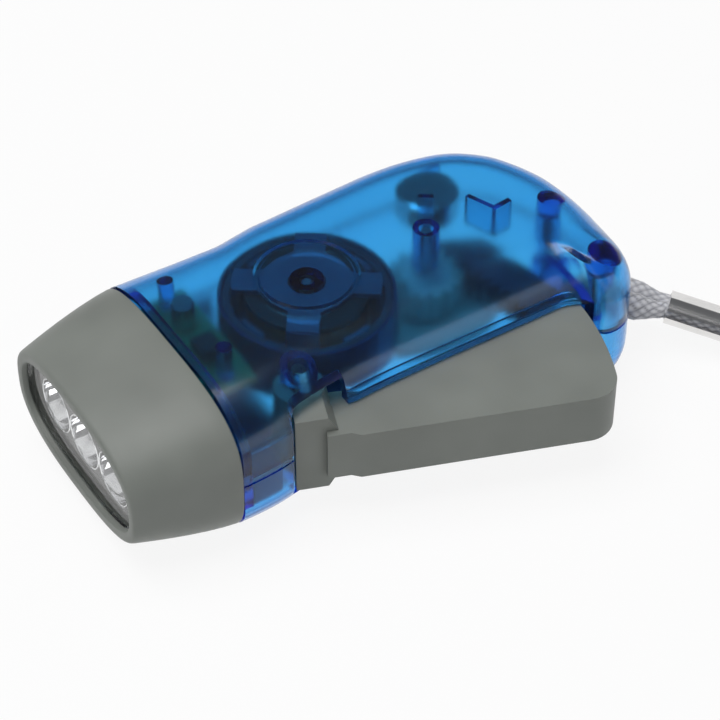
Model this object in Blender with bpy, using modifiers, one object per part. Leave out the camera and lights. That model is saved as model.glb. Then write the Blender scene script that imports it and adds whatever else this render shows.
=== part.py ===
"""Squeeze-lever dynamo flashlight, rebuilt as separate parts that move together.

The body lies on its lower shell. X runs from the lamp end to the tail, Y from the
lever side to the far side and Z up, with the base of the lower shell at Z = 0.
It is drawn from the middle of the lamp end, at the height of the seam, and moved at
the end so that the torch without its cord stands centred on the origin.
The lever is stored swung open, as it rests. Lengths are in metres.
"""
import math

import bmesh
import bpy
from mathutils import Matrix, Vector

MM = 0.001

# Body and shells
HALF_HEIGHT = 14.6 * MM          # seam to the flat top, and seam to the flat base
HEAD_LENGTH = 19.0 * MM          # front rim to the joint with the shells
SHELL_START = 19.3 * MM
SHELL_WALL = 1.7 * MM
SEAM_GAP = 0.4 * MM
GAP = 0.3 * MM                   # between pieces that touch
EDGE_RADIUS = 9.0 * MM           # rounding of the shells' long edges
HEAD_EDGE_RUN = 14.0 * MM        # the wider rounding where the shells meet the head
TAIL_EDGE_RUN = 6.5 * MM         # the tighter one round the tail corner
# The shells' plan outline from the far side of the head, round the tail, to the near side.
OUTLINE_MM = [
    (19.3, 23.3), (25.0, 22.9), (32.0, 22.4), (38.0, 22.1), (41.6, 22.0), (43.0, 22.6),
    (44.6, 23.0), (50.5, 23.3), (57.0, 23.7), (64.5, 24.1), (72.0, 24.4), (78.8, 24.0),
    (84.9, 22.7), (88.5, 21.3), (92.0, 19.0), (95.9, 15.0), (98.8, 9.6), (100.5, 4.8),
    (101.3, -0.4), (101.5, -6.0), (101.1, -11.6), (100.5, -16.4), (99.5, -20.6),
    (97.6, -23.6), (94.9, -25.2), (92.4, -25.4), (90.6, -24.4), (89.5, -22.3),
    (88.2, -20.3), (86.0, -19.6), (80.0, -19.5), (73.0, -19.5), (66.0, -19.5),
    (59.0, -19.5), (52.0, -19.6), (46.0, -19.8), (41.5, -20.2), (37.0, -20.8),
    (33.0, -21.6), (29.0, -22.6), (24.5, -23.2), (19.3, -23.4),
]
OUTLINE_STEP = 4.0 * MM
EDGE_RINGS = 4

# Head
RIM_HALF_WIDTH = 20.9 * MM
RIM_HALF_HEIGHT = 11.1 * MM
JOINT_HALF_WIDTH = 24.1 * MM
BEZEL_WALL = 1.7 * MM
RIM_FLAT = 1.2 * MM
LENS_SEAT = 0.95 * MM
POCKET_HALF_WIDTH = 19.4 * MM
POCKET_HALF_HEIGHT = 9.5 * MM
SECTION_POINTS = 36
LENS_THICKNESS = 1.1 * MM
LAMP_PITCH = 10.2 * MM
CUP_FRONT = 2.75 * MM
CUP_DEPTH = 6.0 * MM
CUP_MOUTH = 4.75 * MM
CUP_THROAT = 2.8 * MM
CUP_WALL = 0.75 * MM
PLATE_HALF_WIDTH = 17.5 * MM
PLATE_HALF_HEIGHT = 7.6 * MM
FLANGE_X = 6.2 * MM
FLANGE_THICKNESS = 1.2 * MM
LAMP_RADIUS = 2.45 * MM
LAMP_TIP = 4.9 * MM
LAMP_LENGTH = 8.4 * MM
LEAD_PITCH = 2.54 * MM
LEAD_RADIUS = 0.28 * MM
BOARD_X = 14.4 * MM
BOARD_THICKNESS = 1.2 * MM
BOARD_HALF_WIDTH = 17.6 * MM
BOARD_HALF_HEIGHT = 7.0 * MM

# Lever
PIVOT = (35.0 * MM, -14.8 * MM)
OPEN_ANGLE = math.radians(20.0)
LEVER_REACH = 54.1 * MM          # pivot to the lever's arc-shaped end
LEVER_HALF_THICKNESS = 5.0 * MM
LEVER_WALL = 1.8 * MM
ARM_FACE = 10.5 * MM             # pivot to the arm's outer face
NECK_FACE = 9.7 * MM
HUB_FACE = 8.5 * MM
HUB_HALF_THICKNESS = 8.0 * MM
HUB_RADIUS = 4.4 * MM
PIN_RADIUS = 1.5 * MM
SPRING_POCKET = 3.3 * MM         # the hub's counterbore that holds the return spring

# Gear train: the lever's rack arc drives two gears and the rotor pinion
RACK_MODULE = 0.8 * MM
RACK_TEETH = 115
FIRST_PINION_TEETH = 14
TRAIN_MODULE = 0.6 * MM
FIRST_WHEEL_TEETH = 42
SECOND_PINION_TEETH = 12
ROTOR_MODULE = 0.5 * MM
SECOND_WHEEL_TEETH = 36
ROTOR_PINION_TEETH = 12
BACKLASH = 0.16 * MM
PRESSURE_ANGLE = math.radians(20.0)
FIRST_AXIS_ANGLE = math.radians(24.9)
AXLE_RADIUS = 1.0 * MM
BORE_CLEARANCE = 0.3 * MM

# Generator
ROTOR_AXIS = (47.0 * MM, 1.9 * MM)
MAGNET_OUTER = 14.6 * MM
MAGNET_THICKNESS = 1.2 * MM
CUP_SKIRT = 0.6 * MM             # the cup's wall round the magnet
AIR_GAP = 0.4 * MM               # from the magnet to the claws
CUP_RADIUS = MAGNET_OUTER + GAP + CUP_SKIRT
MAGNET_INNER = MAGNET_OUTER - MAGNET_THICKNESS
POLE_RADIUS = MAGNET_INNER - AIR_GAP
POLE_WIDTH = 5.5 * MM
POLE_THICKNESS = 0.9 * MM
PLATE_TOP = HALF_HEIGHT - SHELL_WALL - 2 * GAP
CUP_BOTTOM = -1.0 * MM
CUP_STEP = 2.3 * MM              # the cup's rim below the upper pole plate
CUP_TOP = PLATE_TOP - CUP_STEP
CENTRE_BOSS = 3.0 * MM

# Tail and lanyard
TAIL_POST_B = (94.8 * MM, -2.6 * MM)
TAIL_POST_C = (94.3 * MM, -19.0 * MM)
CORD_RADIUS = 2.45 * MM
CORD_HOLE = (12.6 * MM, 4.5 * MM)   # how far the hole lies on the near side, and below the seam
CORD_STEP = 4.0 * MM
CRIMPED_RADIUS = 1.6 * MM        # the strands where the ferrule squeezes them
FERRULE_START = (110.35 * MM, -19.35 * MM, -7.2 * MM)
FERRULE_WAY = (0.66, -0.73, -0.18)
FERRULE_LENGTH = 14.0 * MM
FERRULE_WALL = 0.6 * MM
STRAND_PITCH = 3.7 * MM          # between the two strands inside the ferrule
STRAND_TILT = math.radians(23.0) # how far the far strand lies below the near one

# Cutters and joins
OVERRUN = 1.0 * MM               # how far a cutter passes the face that it opens
CUT_REACH = 20.0 * MM            # the top of a cutter that leaves through the flat face
JOIN_OVERLAP = 0.2 * MM          # how deep one solid stands in another that it joins
SLIVER = 0.02 * MM               # keeps two joined faces from lying in one plane
MERGE_DISTANCE = 0.001 * MM
ROOT_MARGIN = 0.15 * MM          # least step from a gear's base circle to its root

# Bosses, bores and ribs in the shells; levels are measured from the seam
GEAR_BOSS = 2.4 * MM
PIVOT_BOSS = 3.1 * MM
LOWER_TAIL_BOSS = 2.9 * MM
UPPER_TAIL_BOSSES = (2.3 * MM, 2.6 * MM)
PLATE_SOCKET = 3.1 * MM          # how far the upper shell's boss stands through the plate
ROTOR_BOSS_LEVELS = (PLATE_TOP - PLATE_SOCKET, 6.4 * MM)    # upper shell, lower shell
FIRST_BOSS_LEVELS = (4.3 * MM, 8.6 * MM)
SECOND_BOSS_LEVEL = 9.0 * MM
PIVOT_BOSS_LEVELS = (8.8 * MM, 9.1 * MM)
BORE_REACH = HALF_HEIGHT - 2.2 * MM
PIN_REACH = BORE_REACH - GAP
SCREW_BORE = 1.35 * MM
SCREW_BORE_REACH = 9.0 * MM
SCREW_WELL = 2.25 * MM
SCREW_WELL_LOW = HALF_HEIGHT - 3.0 * MM
RIB_THICKNESS = 1.0 * MM
V_RIB_LOW = 9.5 * MM
CELL_RIB_LOW = 5.2 * MM
RING_GROOVE = (8.3 * MM, 9.05 * MM)
RING_GROOVE_DEPTH = 0.35 * MM

# Openings of the shells, and how the shells' rounding changes along them
END_CLEARANCE = 0.5 * MM         # from the lever's arc-shaped end to the end wall
END_WALL = 1.5 * MM
SLOT_START = 40.9 * MM
SLOT_OUTER_Y = -36.0 * MM
SLOT_INNER_Y = -16.6 * MM
SLOT_HALF_HEIGHT = 5.35 * MM
ARCH_SPAN = (29.5 * MM, 41.3 * MM)
ARCH_TOP = 10.2 * MM
ARCH_CORNER = 2.2 * MM
ARCH_DEPTH = 24.0 * MM
ARCH_INNER_Y = -13.5 * MM
CORD_HOLE_HALF_SIZE = (5.9 * MM, 3.0 * MM)
CORD_HOLE_SPAN = (97.4 * MM, 106.0 * MM)
CORE_START = 21.5 * MM           # where the shells' inside starts, behind the collar
HEAD_RUN_FADE = 22.0 * MM
TAIL_RUN_FADE = 12.0 * MM
TAIL_CORNER = (94.5 * MM, -25.0 * MM)
COLLAR_HALF_WIDTH = 23.35 * MM
COLLAR_SPAN = (14.6 * MM, 20.2 * MM)
COLLAR_INSETS = (2.5 * MM, 3.9 * MM)
COLLAR_SEAT_SPAN = (19.6 * MM, 21.4 * MM)
COLLAR_SEAT_INSETS = (1.0 * MM, 3.6 * MM)

# Head details
POCKET_DEPTH = 6.0 * MM
LENS_MOUTH_HALF_WIDTH = 18.8 * MM
LENS_MOUTH_HALF_HEIGHT = 8.9 * MM
PLATE_WALL = 1.0 * MM
CUP_LIP = 0.4 * MM
CUP_MOUTH_EASE = 0.2 * MM
BOARD_POST_PLACE = 15.4 * MM
BOARD_POST_RADIUS = 1.2 * MM
BOARD_POST_ROOT = 0.5 * MM
LAMP_FLANGE = 0.4 * MM
LAMP_FLANGE_HEIGHT = 1.0 * MM
LEAD_ROOT = 0.5 * MM
LEAD_TAIL = 1.0 * MM

# Lever details, in the lever's frame: along the arm, then outward from the pivot
LIP_START = (11.0 * MM, -1.0 * MM)
LIP_COVER = 1.5 * MM             # how far the arm reaches under the shell's lip
LIP_COVER_PLACES = (44.0 * MM, 30.0 * MM)
NECK_INNER_MM = ((21.0, 2.6), (16.0, 0.9), (11.0, 0.2), (4.0, 0.6))
NECK_STEPS = (3.0 * MM, 7.0 * MM, 8.6 * MM)
ARM_CORNER = 5.5 * MM
ARM_SOFTENING = 0.35 * MM
HOLLOW_INNER_MM = ((53.0, 24.0), (24.0, 24.0), (13.0, 10.0), (10.0, -2.0))
RACK_INSET = 0.5 * MM            # the rack's rim inside the arm's end
RACK_TAPER_REACH = 48.7 * MM
RACK_LEVELS = (-2.5 * MM, 2.7 * MM)
WEB_POINTS = ((46.5 * MM, 2.5 * MM), (51.6 * MM, 14.8 * MM), (45.0 * MM, 12.4 * MM))
WEB_END_GAP = 1.0 * MM
WEB_HALF_THICKNESS = 4.0 * MM
HUB_SHOULDERS = (-2.2 * MM, 3.4 * MM, 5.2 * MM)
SHOULDER_INSET = 0.1 * MM
HUB_BLOCK_START = -2.0 * MM
HUB_BORE_REACH = 12.0 * MM
SPRING_POCKET_TOP = -3.0 * MM
SPRING_RADIUS = 2.6 * MM
SPRING_WIRE = 0.3 * MM
SPRING_TURNS = 4
SPRING_PITCH = 1.05 * MM
SPRING_LEG = 8.0 * MM
SPRING_LEG_LEVEL = -8.42 * MM
SPRING_BASE = -7.7 * MM

# Levels of the gears and of the generator's pieces, from the seam
FIRST_WHEEL_LEVELS = (-8.0 * MM, -5.9 * MM)
FIRST_COLLAR = 3.9 * MM
FIRST_COLLAR_TOP = -2.5 * MM
FIRST_PINION_LEVELS = (-2.7 * MM, 2.9 * MM)
SECOND_WHEEL_LEVELS = (-4.5 * MM, -2.3 * MM)
SECOND_PINION_LOW = -8.3 * MM
SECOND_AXLE_TOP = -1.6 * MM
ROTOR_PINION_LEVELS = (-5.4 * MM, -2.0 * MM)
ROTOR_COLLAR = 4.2 * MM
CUP_CHAMFER = 0.4 * MM
CUP_FLOOR = 1.6 * MM
MAGNET_RECESS = 0.4 * MM
POLE_ARM = 4.8 * MM
POLE_HUB = POLE_RADIUS - POLE_ARM
PLATE_TO_CUP = 1.0 * MM
LOWER_PLATE_LOW = CUP_BOTTOM + CUP_FLOOR + PLATE_TO_CUP
UPPER_CLAW_GAP = 2.4 * MM        # from a claw's tip to the other plate's face
LOWER_CLAW_GAP = 3.0 * MM
UPPER_CLAW_LOW = LOWER_PLATE_LOW + UPPER_CLAW_GAP
LOWER_CLAW_TOP = PLATE_TOP - LOWER_CLAW_GAP
SPOOL_TO_CLAWS = 1.1 * MM
SPOOL_FLANGE = POLE_RADIUS - POLE_THICKNESS - SPOOL_TO_CLAWS
SPOOL_LEVELS = (LOWER_PLATE_LOW + POLE_THICKNESS + GAP, PLATE_TOP - POLE_THICKNESS - GAP)
SPOOL_CHEEK = 0.9 * MM
SPOOL_WALL = 1.1 * MM
COIL_INSET = 0.5 * MM

# Bought pieces: turned sections as radius and height in millimetres
CELL_SECTION_MM = ((0.0, 3.6), (5.3, 3.6), (5.8, 4.1), (5.8, 8.7), (5.0, 9.3), (0.0, 9.3))
CAPACITOR_SECTION_MM = ((0.0, 0.0), (2.1, 0.0), (2.1, 4.8), (1.8, 5.2), (0.0, 5.2))
SCREW_HEAD_MM = ((0.0, 0.0), (1.95, 0.0), (1.95, 1.6), (1.05, 2.2))    # from its face
SCREW_SHANK_MM = ((1.05, 7.2), (0.5, 8.2), (0.0, 8.2))                 # from the seam
SCREW_LOW = GAP - HALF_HEIGHT
CROSS_SLOT = (1.2 * MM, 0.28 * MM)
CROSS_DEPTH = 0.9 * MM
RECTIFIER_HALF_SIZE = (4.5 * MM, 12.75 * MM)
RECTIFIER_CORNER = 0.6 * MM
COMPONENT_SHIFT = 4.2 * MM
BRIDGE_HALF_SIZE = (2.0 * MM, 2.4 * MM)
BRIDGE_HEIGHT = 2.4 * MM
BRIDGE_CORNER = 0.3 * MM

# Cord details
CRIMP_START = 2.0 * MM
CRIMP_EASE = 3.5 * MM
KNOT_SIZE = (2.3 * MM, 4.3 * MM, 4.2 * MM)
KNOT_PLACE = (94.9 * MM, -11.3 * MM)


def clear_scene():
    for item in list(bpy.data.objects):
        bpy.data.objects.remove(item, do_unlink=True)


clear_scene()
SCENE = bpy.context.scene


def new_collection(name):
    made = bpy.data.collections.new(name)
    SCENE.collection.children.link(made)
    return made


PARTS = new_collection("dynamo_flashlight")
TOOLS = new_collection("cutters")


def material(name, colour, roughness, metallic=0.0, alpha=1.0):
    made = bpy.data.materials.new(name)
    made.use_nodes = True
    shader = made.node_tree.nodes["Principled BSDF"]
    shader.inputs["Base Color"].default_value = (*colour, 1.0)
    shader.inputs["Roughness"].default_value = roughness
    shader.inputs["Metallic"].default_value = metallic
    shader.inputs["Alpha"].default_value = alpha
    made.diffuse_color = (*colour, alpha)
    return made


GREY_PLASTIC = material("grey_plastic", (0.20, 0.21, 0.19), 0.45)
BLUE_PLASTIC = material("blue_translucent_plastic", (0.02, 0.16, 0.62), 0.2, alpha=0.45)
CLEAR_PLASTIC = material("clear_plastic", (0.85, 0.87, 0.88), 0.08, alpha=0.3)
CHROME = material("chrome", (0.75, 0.75, 0.76), 0.12, 1.0)
EPOXY = material("lamp_epoxy", (0.88, 0.88, 0.80), 0.12)
BOARD_GREEN = material("circuit_board", (0.03, 0.17, 0.08), 0.5)
STEEL = material("steel", (0.48, 0.48, 0.47), 0.3, 1.0)
DARK_STEEL = material("dark_steel", (0.06, 0.06, 0.07), 0.42, 1.0)
MAGNET = material("magnet_ferrite", (0.035, 0.035, 0.04), 0.6)
COPPER = material("copper_winding", (0.60, 0.22, 0.07), 0.35, 1.0)
WHITE_NYLON = material("white_nylon", (0.72, 0.72, 0.68), 0.45)
BLACK_PLASTIC = material("black_plastic", (0.02, 0.02, 0.022), 0.4)
CELL_METAL = material("cell_metal", (0.55, 0.56, 0.57), 0.3, 1.0)
CORD_WHITE = material("braided_cord", (0.62, 0.62, 0.64), 0.85)


def keep(name, mesh_data, look, location=(0.0, 0.0, 0.0), spin=0.0, collection=None):
    """An object from a bmesh, at a place given from the seam's height, turned about Z."""
    mesh = bpy.data.meshes.new(name)
    bmesh.ops.recalc_face_normals(mesh_data, faces=mesh_data.faces)
    mesh_data.to_mesh(mesh)
    mesh_data.free()
    thing = bpy.data.objects.new(name, mesh)
    thing.location = (location[0], location[1], location[2] + HALF_HEIGHT)
    thing.rotation_euler = (0.0, 0.0, spin)
    if look is not None:
        mesh.materials.append(look)
    (collection or PARTS).objects.link(thing)
    return thing


def tool(name, mesh_data, location=(0.0, 0.0, 0.0), spin=0.0):
    made = keep(name, mesh_data, None, location, spin, TOOLS)
    made.hide_render = True
    made.display_type = "WIRE"
    return made


def combine(target, other, operation, many=False):
    """Joins, cuts or intersects; many says that the other object has several solids."""
    step = target.modifiers.new(other.name, "BOOLEAN")
    step.operation = operation
    step.solver = "EXACT"
    step.use_self = many
    step.object = other


def add_prism(mesh_data, points, low, high):
    """A straight-sided solid between two heights over a plan outline."""
    bottom = [mesh_data.verts.new((x, y, low)) for x, y in points]
    floor = mesh_data.faces.new(bottom)
    lifted = bmesh.ops.extrude_face_region(mesh_data, geom=[floor])["geom"]
    moved = [item for item in lifted if isinstance(item, bmesh.types.BMVert)]
    bmesh.ops.translate(mesh_data, vec=(0.0, 0.0, high - low), verts=moved)
    return bottom + moved


def prism(points, low, high):
    made = bmesh.new()
    add_prism(made, points, low, high)
    return made


def circle(radius, count, centre=(0.0, 0.0), start=0.0):
    return [
        (
            centre[0] + radius * math.cos(start + math.tau * step / count),
            centre[1] + radius * math.sin(start + math.tau * step / count),
        )
        for step in range(count)
    ]


def add_lathe(mesh_data, profile, steps, centre=(0.0, 0.0)):
    """A turned solid from (radius, height) points that run round a closed section."""
    verts = [mesh_data.verts.new((radius, 0.0, height)) for radius, height in profile]
    edges = [
        mesh_data.edges.new((verts[step], verts[(step + 1) % len(verts)]))
        for step in range(len(verts))
        if min(profile[step][0], profile[(step + 1) % len(verts)][0]) > 0.0
        or profile[step][0] != profile[(step + 1) % len(verts)][0]
    ]
    before = set(mesh_data.verts) - set(verts)
    bmesh.ops.spin(
        mesh_data,
        geom=verts + edges,
        cent=(0.0, 0.0, 0.0),
        axis=(0.0, 0.0, 1.0),
        dvec=(0.0, 0.0, 0.0),
        angle=math.tau,
        steps=steps,
        use_merge=True,
    )
    made = [vert for vert in mesh_data.verts if vert not in before]
    bmesh.ops.remove_doubles(mesh_data, verts=made, dist=MERGE_DISTANCE)
    made = [vert for vert in mesh_data.verts if vert not in before]
    bmesh.ops.translate(mesh_data, vec=(centre[0], centre[1], 0.0), verts=made)


def lathe(profile, steps=40, centre=(0.0, 0.0)):
    made = bmesh.new()
    add_lathe(made, profile, steps, centre)
    return made


def tube_profile(inner, outer, low, high):
    return [(inner, low), (outer, low), (outer, high), (inner, high)]


def along_x(mesh_data):
    """Turns a solid made along Z so that it lies along X, low end at low X."""
    turn = Matrix(((0, 0, 1, 0), (1, 0, 0, 0), (0, 1, 0, 0), (0, 0, 0, 1)))
    bmesh.ops.transform(mesh_data, matrix=turn, verts=mesh_data.verts)
    return mesh_data


# Sections and outlines
def section(half_width, half_height, power, count=SECTION_POINTS):
    """A rounded-rectangle section as (y, z) points."""
    points = []
    for step in range(count):
        angle = math.tau * step / count
        across, up = math.cos(angle), math.sin(angle)
        points.append((
            half_width * math.copysign(abs(across) ** (2.0 / power), across),
            half_height * math.copysign(abs(up) ** (2.0 / power), up),
        ))
    return points


def loft_rings(mesh_data, rings, close_ends=True, wrap=False):
    """Skins equal-sized rings of points, capped, or joined last to first."""
    rows = [[mesh_data.verts.new(point) for point in ring] for ring in rings]
    pairs = list(zip(rows[:-1], rows[1:]))
    if wrap:
        pairs.append((rows[-1], rows[0]))
    for one, two in pairs:
        for step in range(len(one)):
            after = (step + 1) % len(one)
            mesh_data.faces.new((one[step], one[after], two[after], two[step]))
    if close_ends and not wrap:
        mesh_data.faces.new(list(reversed(rows[0])))
        mesh_data.faces.new(rows[-1])
    return rows


def smooth_line(points, step):
    """An open line through the points, evenly spaced, as a Catmull-Rom curve."""
    dense = []
    for place in range(len(points) - 1):
        p0 = points[max(place - 1, 0)]
        p1, p2 = points[place], points[place + 1]
        p3 = points[min(place + 2, len(points) - 1)]
        for part in range(8):
            t = part / 8.0
            dense.append(tuple(
                0.5 * (2 * p1[k] + (p2[k] - p0[k]) * t
                       + (2 * p0[k] - 5 * p1[k] + 4 * p2[k] - p3[k]) * t * t
                       + (3 * p1[k] - p0[k] - 3 * p2[k] + p3[k]) * t ** 3)
                for k in range(len(p1))
            ))
    dense.append(tuple(points[-1]))
    lengths = [0.0]
    for one, two in zip(dense[:-1], dense[1:]):
        lengths.append(lengths[-1] + math.dist(one, two))
    count = max(2, round(lengths[-1] / step))
    found = []
    place = 0
    for number in range(count + 1):
        want = lengths[-1] * number / count
        while place < len(lengths) - 2 and lengths[place + 1] < want:
            place += 1
        span = lengths[place + 1] - lengths[place]
        share = (want - lengths[place]) / span if span else 0.0
        found.append(tuple(
            one + (two - one) * share for one, two in zip(dense[place], dense[place + 1])
        ))
    return found


def smoothed(values, rounds):
    """Evens out a list of vectors by averaging neighbours, with its ends held."""
    for _ in range(rounds):
        values = [values[0]] + [
            tuple((a + 2 * b + c) / 4 for a, b, c in zip(values[k - 1], values[k], values[k + 1]))
            for k in range(1, len(values) - 1)
        ] + [values[-1]]
    return values


OUTLINE = smooth_line([(x * MM, y * MM) for x, y in OUTLINE_MM], OUTLINE_STEP)


def inward_directions():
    """For each outline point, which way its wall leans in as it rises, and how far."""
    soft = smoothed(OUTLINE, 10)
    found = []
    for k in range(len(soft)):
        before, after = soft[max(k - 1, 0)], soft[min(k + 1, len(soft) - 1)]
        along = Vector((after[0] - before[0], after[1] - before[1])).normalized()
        found.append((along[1], -along[0]))
    found[0], found[-1] = (0.0, -1.0), (0.0, 1.0)
    found[1], found[-2] = (0.0, -1.0), (0.0, 1.0)
    found = smoothed(found, 6)
    ways = [Vector(way).normalized() for way in found]
    runs = []
    for x, y in OUTLINE:
        near_head = max(0.0, 1.0 - (x - SHELL_START) / HEAD_RUN_FADE)
        run = EDGE_RADIUS + (HEAD_EDGE_RUN - EDGE_RADIUS) * near_head
        tail = max(0.0, 1.0 - math.dist((x, y), TAIL_CORNER) / TAIL_RUN_FADE)
        runs.append((run + (TAIL_EDGE_RUN - run) * min(1.0, 1.6 * tail),))
    runs = [value[0] for value in smoothed(runs, 4)]
    return ways, runs


WAYS, RUNS = inward_directions()


def shell_rings(inset, start_x, base):
    """Open rings of the pillow-shaped upper half, moved inward by an inset."""
    top = HALF_HEIGHT - inset
    drop = EDGE_RADIUS - inset
    rings = []
    heights = [(0.0, base)] + [
        (math.radians(90.0 * step / EDGE_RINGS), None) for step in range(EDGE_RINGS + 1)
    ]
    for turn, fixed in heights:
        ring = []
        for (x, y), way, run in zip(OUTLINE, WAYS, RUNS):
            lean = inset + (run - inset) * (1.0 - math.cos(turn))
            height = top - drop * (1.0 - math.sin(turn)) if fixed is None else fixed
            ring.append((x + way[0] * lean, y + way[1] * lean, height))
        ring = [point for point in ring]
        ring[0] = (start_x, ring[0][1], ring[0][2])
        ring[-1] = (start_x, ring[-1][1], ring[-1][2])
        rings.append(ring)
    return rings


def shell_skin():
    """The outer face of the upper half, open at the seam and at the head."""
    made = bmesh.new()
    rows = [[made.verts.new(point) for point in ring]
            for ring in shell_rings(0.0, SHELL_START, SEAM_GAP / 2)]
    for one, two in zip(rows[:-1], rows[1:]):
        for k in range(len(one) - 1):
            made.faces.new((one[k], one[k + 1], two[k + 1], two[k]))
    made.faces.new(rows[-1])
    return made


def shell_core(start_x):
    """A closed block that fills the upper half to the middle of its wall."""
    made = bmesh.new()
    rows = [[made.verts.new(point) for point in ring]
            for ring in shell_rings(SHELL_WALL * 0.5, start_x, SEAM_GAP / 2)]
    for one, two in zip(rows[:-1], rows[1:]):
        for k in range(len(one) - 1):
            made.faces.new((one[k], one[k + 1], two[k + 1], two[k]))
    made.faces.new(rows[-1])
    made.faces.new(list(reversed(rows[0])))
    made.faces.new([row[0] for row in reversed(rows)] + [row[-1] for row in rows])
    return made


def mirrored(mesh_data):
    """The lower half's version of an upper piece."""
    bmesh.ops.scale(mesh_data, vec=(1.0, 1.0, -1.0), verts=mesh_data.verts)
    return mesh_data


def half_collar(x_low, x_high, outer_inset, inner_inset):
    """Half a rounded ring that runs along X under the shell's front edge."""
    def arc(inset):
        half_width, half_height = COLLAR_HALF_WIDTH - inset, HALF_HEIGHT - inset
        points = []
        for step in range(21):
            angle = math.pi * step / 20
            across, up = math.cos(angle), math.sin(angle)
            points.append((
                half_width * math.copysign(abs(across) ** (2.0 / 3.0), across),
                SEAM_GAP / 2 + (half_height - SEAM_GAP / 2) * abs(up) ** (2.0 / 3.0),
            ))
        return points
    made = bmesh.new()
    add_prism(made, arc(outer_inset) + list(reversed(arc(inner_inset))), x_low, x_high)
    return along_x(made)


# Gears
def involute(angle):
    return math.tan(angle) - angle


def gear_outline(module, teeth, addendum=0.9, dedendum=1.2, phase=0.0, flank_steps=2):
    """A full gear outline with involute flanks, thinned for backlash."""
    pitch = module * teeth / 2
    base = pitch * math.cos(PRESSURE_ANGLE)
    tip, root = pitch + addendum * module, pitch - dedendum * module
    half = math.pi / (2 * teeth) - BACKLASH / (4 * pitch)
    flank = []
    start = root if base - root < ROOT_MARGIN else max(base, root)
    for step in range(flank_steps + 1):
        radius = start + (tip - start) * step / flank_steps
        at = math.acos(min(1.0, base / radius))
        flank.append((radius, half + involute(PRESSURE_ANGLE) - involute(at)))
    if start > root:
        flank.insert(0, (root, flank[0][1] + 0.0))
    points = []
    for number in range(teeth):
        middle = phase + math.tau * number / teeth
        for radius, lead in flank:
            points.append((radius * math.cos(middle - lead), radius * math.sin(middle - lead)))
        for radius, lead in reversed(flank):
            points.append((radius * math.cos(middle + lead), radius * math.sin(middle + lead)))
    return points


PITCH_1P = RACK_MODULE * FIRST_PINION_TEETH / 2
RACK_PITCH = RACK_MODULE * RACK_TEETH / 2
AXIS_1 = (
    PIVOT[0] + (RACK_PITCH - PITCH_1P) * math.cos(FIRST_AXIS_ANGLE),
    PIVOT[1] + (RACK_PITCH - PITCH_1P) * math.sin(FIRST_AXIS_ANGLE),
)


def meeting_point(one, two, from_one, from_two, side):
    """The point at given distances from two others, on the chosen side of their line."""
    line = Vector((two[0] - one[0], two[1] - one[1]))
    along = (line.length ** 2 + from_one ** 2 - from_two ** 2) / (2 * line.length)
    off = math.sqrt(from_one ** 2 - along ** 2)
    unit = line.normalized()
    return (
        one[0] + unit.x * along - unit.y * off * side,
        one[1] + unit.y * along + unit.x * off * side,
    )


AXIS_2 = meeting_point(
    AXIS_1,
    ROTOR_AXIS,
    TRAIN_MODULE * (FIRST_WHEEL_TEETH + SECOND_PINION_TEETH) / 2,
    ROTOR_MODULE * (SECOND_WHEEL_TEETH + ROTOR_PINION_TEETH) / 2,
    -1.0,
)


def bearing(one, two):
    return math.atan2(two[1] - one[1], two[0] - one[0])


def phase_to(angle, teeth, tooth=True):
    """Phase that puts a tooth, or a space, of a gear in the given direction."""
    return angle if tooth else angle + math.pi / teeth


# Shells
END_WALL_TOP = 6.0 * MM          # just taller than the lever's arm
BOARD_PLACE = (26.5 * MM, 4.75 * MM)
BOARD_TOP = 6.6 * MM
BOARD_FOOT_PITCH = 20.0 * MM
BOARD_FOOT_RADIUS = 1.4 * MM
CELL_PLACE = (80.2 * MM, 14.7 * MM)
CELL_RADIUS = 5.8 * MM


def posts_upper():
    made = bmesh.new()
    reach = HALF_HEIGHT
    for centre, radius, low in (
        (ROTOR_AXIS, CENTRE_BOSS, ROTOR_BOSS_LEVELS[0]),
        (AXIS_1, GEAR_BOSS, FIRST_BOSS_LEVELS[0]),
        (PIVOT, PIVOT_BOSS, PIVOT_BOSS_LEVELS[0]),
        (TAIL_POST_B, UPPER_TAIL_BOSSES[0], SEAM_GAP),
        (TAIL_POST_C, UPPER_TAIL_BOSSES[1], SEAM_GAP),
    ):
        add_prism(made, circle(radius, 20, centre), low, reach)
    for side in (-1, 1):
        foot = (BOARD_PLACE[0], BOARD_PLACE[1] + side * BOARD_FOOT_PITCH / 2)
        add_prism(made, circle(BOARD_FOOT_RADIUS, 12, foot), BOARD_TOP + GAP, reach)
    return made


def posts_lower():
    made = bmesh.new()
    reach = HALF_HEIGHT
    for centre, radius, low in (
        (ROTOR_AXIS, CENTRE_BOSS, ROTOR_BOSS_LEVELS[1]),
        (AXIS_1, GEAR_BOSS, FIRST_BOSS_LEVELS[1]),
        (AXIS_2, GEAR_BOSS, SECOND_BOSS_LEVEL),
        (PIVOT, PIVOT_BOSS, PIVOT_BOSS_LEVELS[1]),
        (TAIL_POST_B, LOWER_TAIL_BOSS, SEAM_GAP),
        (TAIL_POST_C, LOWER_TAIL_BOSS, SEAM_GAP),
    ):
        add_prism(made, circle(radius, 20, centre), low, reach)
    return made


def bar(start, end, thickness):
    """A straight rib's plan outline between two points."""
    line = Vector((end[0] - start[0], end[1] - start[1])).normalized() * thickness / 2
    return [
        (start[0] - line.y, start[1] + line.x),
        (start[0] + line.y, start[1] - line.x),
        (end[0] + line.y, end[1] - line.x),
        (end[0] - line.y, end[1] + line.x),
    ]


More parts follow.
